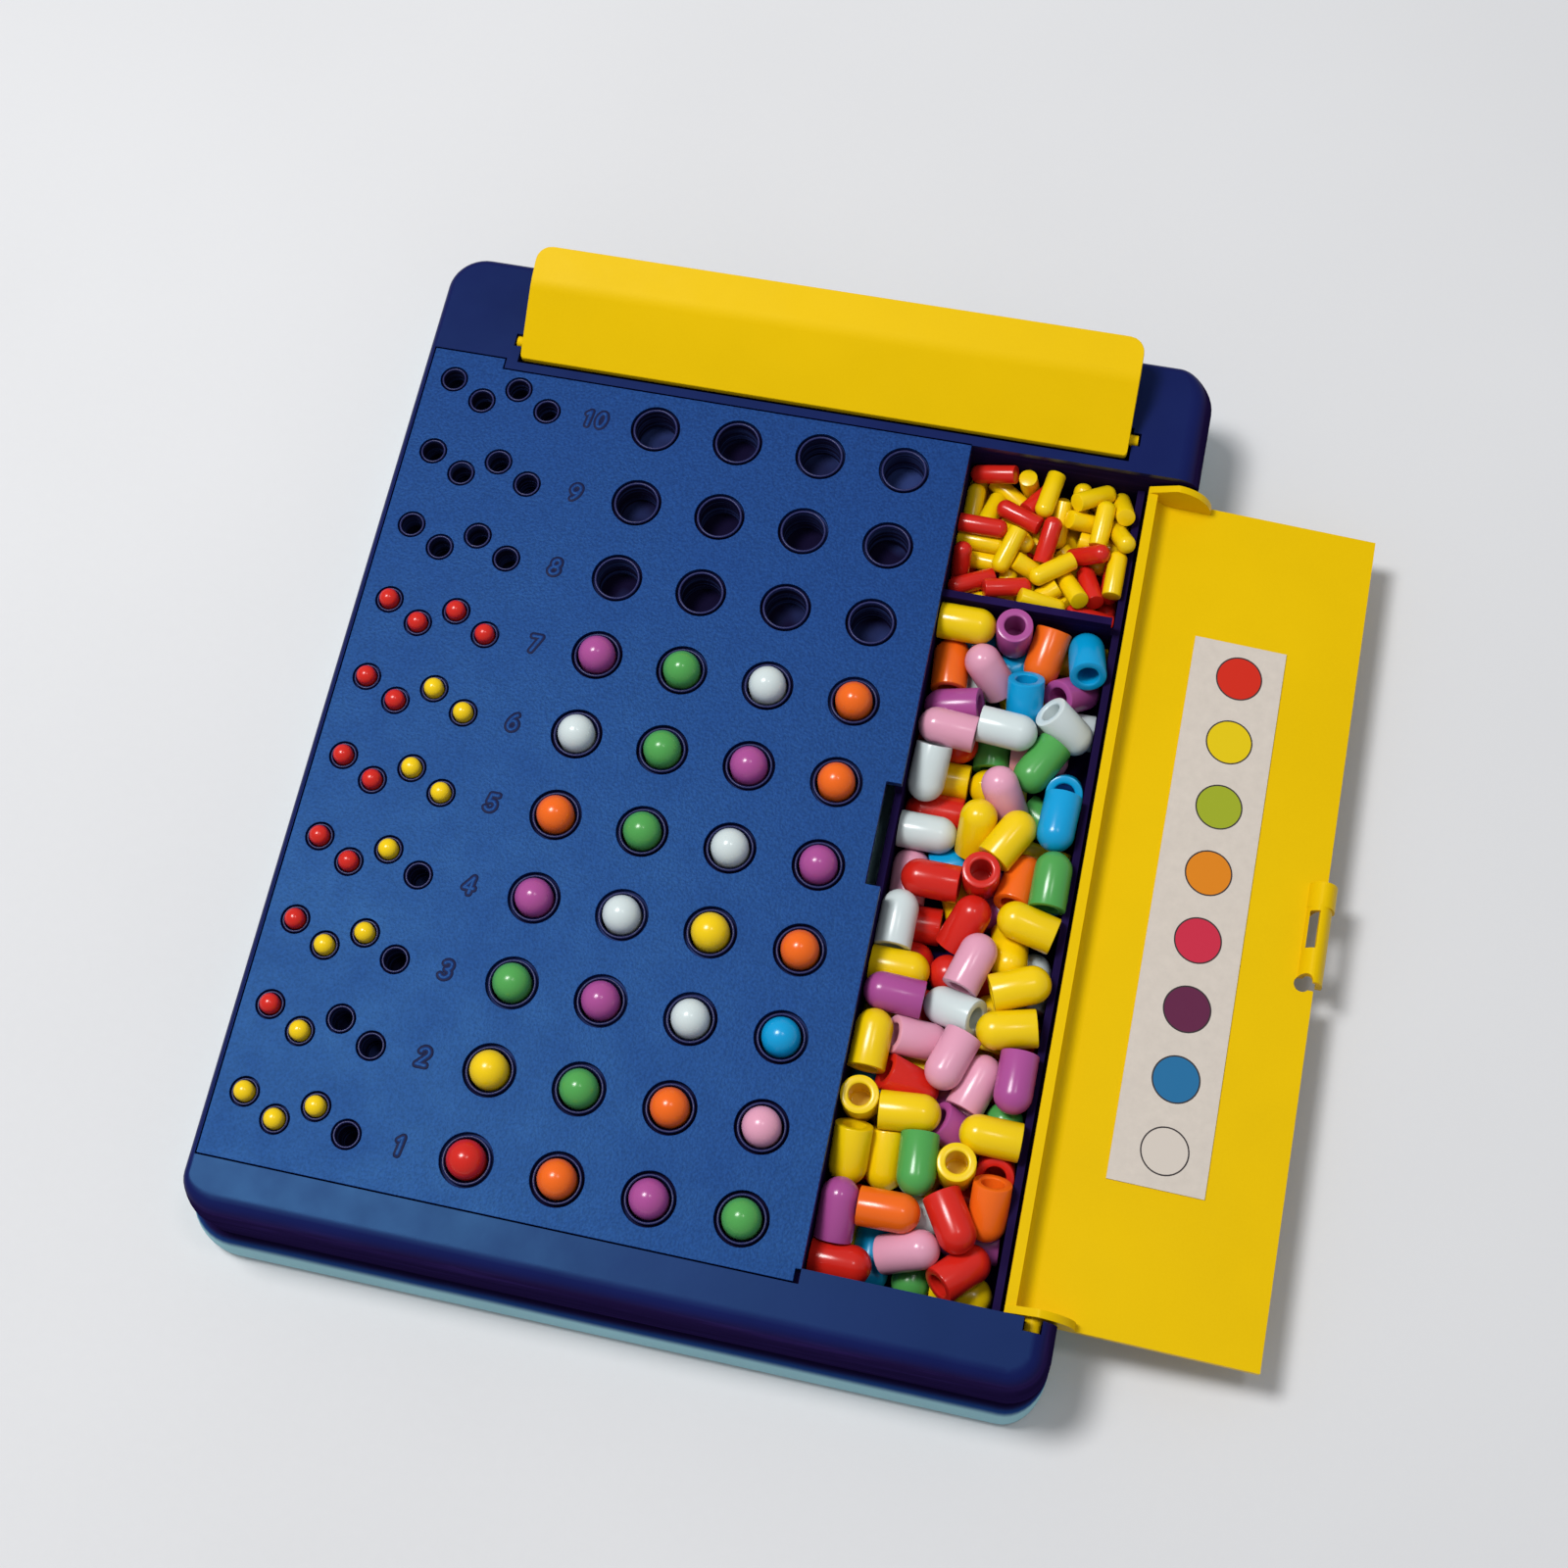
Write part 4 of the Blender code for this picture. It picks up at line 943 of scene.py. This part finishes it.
def make_pegs(finishes):
    """The pegs in their sockets, each in place of its solid."""
    seat = SOCKET_FLOOR + PEG_SEAT_GAP
    code_places = [(x, 0.0) for x in COLUMNS]
    kinds = (
        ("code", CODE_ROWS, code_places, lathe(code_peg_profile(), CODE_PEG_SIDES)),
        ("key", KEY_ROWS, KEYS, lathe(key_peg_profile(), KEY_PEG_SIDES)),
    )
    for kind, rows, places, (points, faces) in kinds:
        for row, colours in enumerate(rows, 1):
            for order, colour in enumerate(colours.split(), 1):
                x, shift = places[order - 1]
                y = ROWS[row - 1] + shift
                node = f"{kind}_peg_row{row}_{order}_{colour}"
                peg = ([(px + x, py + y, pz + seat) for px, py, pz in points], faces)
                make(f"fine_{node}", [peg], finishes[colour], node, replaces=(node,))


# Storage lid


def tilt_into_place(item):
    """From the hinge's own axes to where the lid lies open."""
    tilt = Euler((0, LID_TILT, 0)).to_matrix().to_4x4()
    item.data.transform(Matrix.Translation((HINGE_X * MM, 0, HINGE_Z * MM)) @ tilt)


def lid_section():
    """The lid's plate, curled up into a flange beside the hinge."""
    cx, cz = LID_OUTER + LID_CURL, LID_UNDER + LID_CURL
    flange_top = LID_UNDER + LID_FLANGE
    inner_curl = LID_CURL - LID_PLATE
    section = [(LID_OUTER, flange_top)] + arc(cx, cz, LID_CURL, LID_CURL, 180, 270, 14)
    section += [(LID_EDGE, LID_UNDER), (LID_EDGE, LID_UNDER + LID_PLATE)]
    section += arc(cx, cz, inner_curl, inner_curl, 270, 180, 14)
    section.append((LID_OUTER + LID_PLATE, flange_top))
    return section


def add_ears(lid):
    """An ear and a hinge pin at each end of the lid."""
    cx, cz = LID_OUTER + LID_CURL, LID_UNDER + LID_CURL
    middle = LID_UNDER + LID_PLATE / 2
    ear = [(LID_OUTER, LID_UNDER + LID_FLANGE)] + arc(cx, cz, LID_CURL, LID_CURL, 180, 270, 14)
    ear += arc(0, middle, EAR_REACH, EAR_RISE - middle, 0, 90, 18)
    for y, inwards in ((LID_FRONT, 1), (LID_REAR, -1)):
        boolean(lid, [along_y(ear, *sorted((y, y + EAR_THICKNESS * inwards)))], "UNION")
        ends = sorted((y - LID_PIN_REACH * inwards, y + LID_PIN_ROOT * inwards))
        boolean(lid, [along_y(circle(0, 0, LID_PIN_RADIUS), *ends)], "UNION")


def add_latch(lid):
    """A hollow ridge on the free edge, with a slot and an open mouth."""
    right = LID_EDGE + OVERHANG
    top = LID_UNDER + LID_PLATE + LATCH_HEIGHT
    below, above = LID_UNDER - MARGIN, top + MARGIN
    foot = LID_UNDER + LATCH_FOOT
    shoulder = LATCH_REAR - SHOULDER
    lengths = (
        (WIDE_HALF, right, shoulder - BITE, LATCH_REAR),
        (SLIM_HALF, right - LATCH_STEP, LATCH_FRONT, shoulder),
    )
    for half, edge, y0, y1 in lengths:
        middle = edge - half
        back = [(middle + half, LID_UNDER)] + arc(middle, foot, half, top - foot, 0, 180, 18)
        boolean(lid, [along_y(back + [(middle - half, LID_UNDER)], y0, y1)], "UNION")
    middle, half = right - HOLLOW_INSET, HOLLOW_HALF
    hollow_foot, hollow_height = LID_UNDER + HOLLOW_FOOT, top - LID_UNDER - HOLLOW_DROP
    hollow = [(middle + half, below)] + arc(middle, hollow_foot, half, hollow_height, 0, 180, 14)
    hollow.append((middle - half, below))
    boolean(lid, [along_y(hollow, LATCH_FRONT - MARGIN, LATCH_REAR - HOLLOW_END)])
    slot_x = (right - SLOT_LEFT, right - SLOT_RIGHT)
    boolean(lid, [box(*slot_x, SLOT_FRONT, SLOT_REAR, below, above)])
    mouth = [(right - MOUTH_INSET, LATCH_FRONT)]
    boolean(lid, cylinders(mouth, MOUTH_RADIUS, below, above, 24))


def make_lid(material):
    lid = make("lid", [along_y(lid_section(), LID_FRONT, LID_REAR)], material, None)
    add_ears(lid)
    add_latch(lid)
    round_edges(lid, YELLOW_RADII, angle=45)
    tilt_into_place(lid)
    dress(lid, "storage_lid", ("storage_lid",))


def make_strip(material):
    base = LID_UNDER + LID_PLATE + STRIP_GLUE
    front, rear = STRIP_Y - STRIP_LENGTH / 2, STRIP_Y + STRIP_LENGTH / 2
    sheet = box(STRIP_LEFT, STRIP_RIGHT, front, rear, base, base + STRIP_THICKNESS)
    strip = make("strip", [sheet], material, None)
    tilt_into_place(strip)
    dress(strip, "storage_lid", ("colour_strip",))


# Code shield


def shield_line():
    """The shield's section from its front edge to its rear edge, with a small radius at the fold."""
    nose, fold, back = Vector(SHIELD_NOSE), Vector(SHIELD_FOLD), Vector(SHIELD_BACK)
    before = (nose - fold).normalized() * FOLD_REACH + fold
    after = (back - fold).normalized() * FOLD_REACH + fold
    line = [SHIELD_NOSE]
    for i in range(FOLD_STEPS + 1):
        t = i / FOLD_STEPS
        point = (1 - t) ** 2 * before + 2 * t * (1 - t) * fold + t**2 * after
        line.append((point.x, point.y))
    line.append(SHIELD_BACK)
    return line


def corner_pull(radius, inside):
    """How far a round corner draws the edge in, at a distance from the side."""
    reach = radius - min(inside, radius)
    return radius - math.sqrt(max(0, radius**2 - reach**2))


def shield_rings():
    width = SHIELD_RIGHT - SHIELD_LEFT
    stations = list(STATIONS) + [width - s for s in reversed(STATIONS)]
    top_line = shield_line()
    (nose_y, nose_z), (rear_y, rear_z) = top_line[0], top_line[-1]
    (before_y, before_z), (fold_y, fold_z) = top_line[-2], SHIELD_FOLD
    rear_slope = (rear_z - before_z) / (rear_y - before_y)
    nose_slope = (fold_z - nose_z) / (fold_y - nose_y)
    rings = []
    for x in stations:
        inside = min(x, width - x)
        pull = corner_pull(SHIELD_CORNER, inside)
        push = corner_pull(NOSE_CORNER, inside)
        line = list(top_line)
        line[-1] = (rear_y - pull, rear_z - pull * rear_slope)
        line[0] = (nose_y + push, nose_z + push * nose_slope)
        ring = line + [(y, z - SHIELD_PLATE) for y, z in reversed(line)]
        rings.append([(SHIELD_LEFT + x, PIVOT_Y + y, PIVOT_Z + z) for y, z in ring])
    return rings


def make_shield(material):
    shield = make("shield", [loft(shield_rings())], material, None)
    foot = TOP - PIVOT_Z + FOOT_GAP
    cheek = arc(0, 0, SHIELD_BOSS, SHIELD_BOSS, 140, 360, 16)
    cheek += [(SHIELD_BOSS, foot), (CHEEK_REAR, foot), (CHEEK_REAR, CHEEK_REAR_TOP)]
    cheek.append((SHIELD_FOLD[0], CHEEK_FOLD_TOP))
    cheeks = (cheek, 0.0, SHIELD_PLATE)
    pins = (circle(0, 0, SHIELD_PIN_RADIUS), SHIELD_PIN_REACH, SHIELD_PIN_ROOT)
    for outline, out, inside in (cheeks, pins):
        side = [(y + PIVOT_Y, z + PIVOT_Z) for y, z in outline]
        for ends in ((SHIELD_LEFT - out, SHIELD_LEFT + inside), (SHIELD_RIGHT - inside, SHIELD_RIGHT + out)):
            boolean(shield, [along_x(side, *ends)], "UNION")
    round_edges(shield, YELLOW_RADII, angle=45)
    dress(shield, "code_shield", ("code_shield",))


# Loose pegs


def simulate(movers, walls, plate, frames):
    """Lets rigid bodies fall and settle under a plate, and returns where each mover comes to rest."""
    scene = bpy.context.scene
    bpy.ops.rigidbody.world_add()
    world = scene.rigidbody_world
    world.collection = bpy.data.collections.new("falling")
    world.substeps_per_frame = 12
    world.solver_iterations = 24
    world.point_cache.frame_start = 1
    world.point_cache.frame_end = frames
    for item in movers + walls:
        world.collection.objects.link(item)
    bpy.context.view_layer.update()
    for item in movers + walls:
        state = item.rigid_body
        state.type = "ACTIVE" if item in movers else "PASSIVE"
        state.collision_shape = "CONVEX_HULL"
        state.use_margin = True
        state.collision_margin = 0.002
        state.friction = 0.35
        state.restitution = 0.05
        state.linear_damping = 0.08
        state.angular_damping = 0.15
    if plate:
        plate.rigid_body.kinematic = True
        lowering, lowered = frames - PLATE_WAIT, frames - PLATE_REST
        for number, height in ((1, PLATE_START), (lowering, PLATE_START), (lowered, 0.0), (frames, 0.0)):
            plate.location.z = height * SIM
            plate.keyframe_insert("location", index=2, frame=number)
    for number in range(1, frames + 1):
        scene.frame_set(number)
    graph = bpy.context.evaluated_depsgraph_get()
    rest = [item.evaluated_get(graph).matrix_world.copy() for item in movers]
    bpy.ops.rigidbody.world_remove()
    scene.frame_set(1)
    return rest


def sim_object(name, part):
    """A body of the simulation, which runs at fifty times the real size."""
    item = make(name, [part], None, None)
    item.data.transform(Matrix.Scale(SIM / MM, 4))
    return item


def well_sides(area):
    """The well's floor and high walls, and a block where each ear swings."""
    x0, x1, y0, y1 = area
    left, right = x0 - SIDE_WIDTH, x1 + SIDE_WIDTH
    front, rear = y0 - SIDE_WIDTH, y1 + SIDE_WIDTH
    bottom, tall = WELL_FLOOR - SIDE_WIDTH, WELL_FLOOR + SIDE_HEIGHT
    walls = (
        box(left, right, front, rear, bottom, WELL_FLOOR),
        box(left, x0, front, rear, bottom, tall),
        box(x1, right, front, rear, bottom, INNER_TOP),
        box(x1 + FLANGE_GAP, right, front, rear, bottom, tall),
        box(left, right, front, y0, bottom, tall),
        box(left, right, y1, rear, bottom, tall),
        box(EAR_SWING_X, right, LID_REAR - EAR_BLOCK_GAP, rear, EAR_BLOCK_BOTTOM, tall),
        box(EAR_SWING_X, right, front, LID_FRONT + EAR_BLOCK_GAP, EAR_BLOCK_BOTTOM, tall),
    )
    return [sim_object(f"side_{i}", wall) for i, wall in enumerate(walls)]


def falling_pegs(profile, length, area, count, seed):
    """Pegs in layers above the well, each turned and nudged at random."""
    x0, x1, y0, y1 = area
    draw = random.Random(seed)
    pitch = length * DROP_SPACING
    across = max(1, int((x1 - x0) / pitch))
    along = max(1, int((y1 - y0) / pitch))
    solid = lathe([(r, h - length / 2) for r, h in profile], FALLING_SIDES)
    movers = []
    for i in range(count):
        layer, rest = divmod(i, across * along)
        column, row = rest % across, rest // across
        item = sim_object(f"mover_{i}", solid)
        item.rotation_mode = "XYZ"
        item.rotation_euler = [draw.uniform(0, 2 * math.pi) for _ in range(3)]
        place = (
            x0 + (column + 0.5) * (x1 - x0) / across + draw.uniform(-DROP_JITTER, DROP_JITTER),
            y0 + (row + 0.5) * (y1 - y0) / along + draw.uniform(-DROP_JITTER, DROP_JITTER),
            WELL_FLOOR + length * DROP_HEIGHT + layer * pitch,
        )
        item.location = [v * SIM for v in place]
        movers.append(item)
    return movers


def settle_heap(profile, length, area, count, frames, seed, pressed):
    """Drops pegs into a well, evens them out, and returns their resting transforms in millimetres."""
    x0, x1, y0, y1 = area
    sides = well_sides(area)
    movers = falling_pegs(profile, length, area, count, seed)
    plate = None
    if pressed:
        reach = (x0 - PLATE_MARGIN, x1 + PLATE_MARGIN, y0 - PLATE_MARGIN, y1 + PLATE_MARGIN)
        plate = sim_object("plate", box(*reach, HEAP_TOP - PLATE_DROP, HEAP_TOP + PLATE_DEPTH))
        sides.append(plate)
    found = simulate(movers, sides, plate, frames)
    for item in movers + sides:
        bpy.data.objects.remove(item, do_unlink=True)
    result = []
    for matrix in found:
        spot = matrix.to_translation() / SIM
        result.append(Matrix.Translation(spot) @ matrix.to_quaternion().to_matrix().to_4x4())
    return result


def clears_the_lid(middle, corners):
    """Whether a peg stays under the closed lid, its latch and the swing of its ears."""
    limit = HEAP_TOP
    front, rear = LATCH_FRONT - LATCH_ZONE_EDGE, LATCH_REAR + LATCH_ZONE_EDGE
    if middle.x < LATCH_ZONE_X and front < middle.y < rear:
        limit = HEAP_LATCH_TOP
    front, rear = LID_FRONT + EAR_SWING_GAP, LID_REAR - EAR_SWING_GAP
    ends = [p for p in corners if p.x > EAR_SWING_X and not front < p.y < rear]
    too_high = max(p.z for p in corners) > limit
    return not (too_high or any(p.z > EAR_BOTTOM for p in ends))


def make_heap(name, transforms, profile, length, shares, finishes, sides, seed):
    """One object for each colour of the loose pegs."""
    draw = random.Random(seed)
    colours = [colour for colour, share in shares.items() for _ in range(share)]
    points, faces = lathe([(r, h - length / 2) for r, h in profile], sides)
    groups = {}
    for matrix in transforms:
        colour = draw.choice(colours)
        moved = [matrix @ Vector(p) for p in points]
        if clears_the_lid(matrix.to_translation(), moved):
            groups.setdefault(colour, []).append(([tuple(p) for p in moved], faces))
    for colour, parts in sorted(groups.items()):
        make(f"loose_{name}_{colour}", parts, finishes[colour], "root")


def make_loose_pegs(finishes):
    side = (WELL_LEFT + HEAP_GAP, WELL_RIGHT - HEAP_GAP)
    code_area = (*side, WELL_FRONT + HEAP_GAP, DIVIDER_FRONT - HEAP_GAP)
    key_area = (*side, DIVIDER_REAR + HEAP_GAP, WELL_REAR - HEAP_GAP)
    code_peg = (code_peg_profile(), CODE_PEG_LENGTH)
    key_peg = (key_peg_profile(), KEY_PEG_LENGTH)
    codes = settle_heap(*code_peg, code_area, *CODE_DROP, True)
    keys = settle_heap(*key_peg, key_area, *KEY_DROP, False)
    make_heap("code_pegs", codes, *code_peg, CODE_SHARES, finishes, *CODE_HEAP)
    make_heap("key_pegs", keys, *key_peg, KEY_SHARES, finishes, *KEY_HEAP)


# Floor, lights and camera


def make_floor():
    reach = (-FLOOR_REACH, FLOOR_REACH)
    floor = make("floor", [box(*reach, *reach, -FLOOR_DEPTH, 0)], floor_material(), None)


def lamp(name, direction, distance, size, power):
    data = bpy.data.lights.new(name, "AREA")
    data.shape = "DISK"
    data.size = size
    data.energy = power
    item = bpy.data.objects.new(name, data)
    bpy.context.collection.objects.link(item)
    toward = Vector(direction).normalized()
    item.location = toward * distance
    item.rotation_euler = toward.to_track_quat("Z", "Y").to_euler()


def make_lights():
    world = bpy.data.worlds.new("studio")
    bpy.context.scene.world = world
    world.use_nodes = True
    tree = world.node_tree
    ground = tree.nodes["Background"]
    ground.inputs["Color"].default_value = (*ROOM_COLOUR, 1)
    seen = tree.nodes.new("ShaderNodeLightPath").outputs["Is Camera Ray"]
    level = tree.nodes.new("ShaderNodeMath")
    level.operation = "MULTIPLY_ADD"
    tree.links.new(seen, level.inputs[0])
    level.inputs[1].default_value = ROOM_SEEN
    level.inputs[2].default_value = ROOM_LIGHT
    tree.links.new(level.outputs[0], ground.inputs["Strength"])
    for values in LAMPS:
        lamp(*values)


def make_camera():
    data = bpy.data.cameras.new("camera")
    data.sensor_width = SENSOR
    data.lens = FOCAL_PIXELS * ZOOM * SENSOR / FRAME_PIXELS
    data.shift_x = (FRAME_CENTRE[0] - PRINCIPAL[0]) * ZOOM / FRAME_PIXELS
    data.shift_y = -(FRAME_CENTRE[1] - PRINCIPAL[1]) * ZOOM / FRAME_PIXELS
    data.clip_start, data.clip_end = NEAREST, FARTHEST
    camera = bpy.data.objects.new("camera", data)
    bpy.context.collection.objects.link(camera)
    camera.location = CAMERA_PLACE
    camera.rotation_euler = [math.radians(a) for a in CAMERA_TURN]
    bpy.context.scene.camera = camera


def main():
    bpy.context.scene.view_settings.view_transform = "Standard"
    make_camera()
    tray = tray_plastic()
    panel = panel_plastic()
    sockets = socket_plastic()
    numerals = numeral_plastic()
    cover = cover_plastic()
    yellow = yellow_plastic()
    finishes = {name: peg_plastic(name) for name in PEG_COLOURS}
    make_cover(cover)
    make_tray(tray)
    make_panel(panel, sockets)
    make_numerals(numerals, panel)
    make_pegs(finishes)
    make_lid(yellow)
    make_strip(paper())
    make_shield(yellow)
    make_loose_pegs(finishes)
    make_floor()
    make_lights()


main()
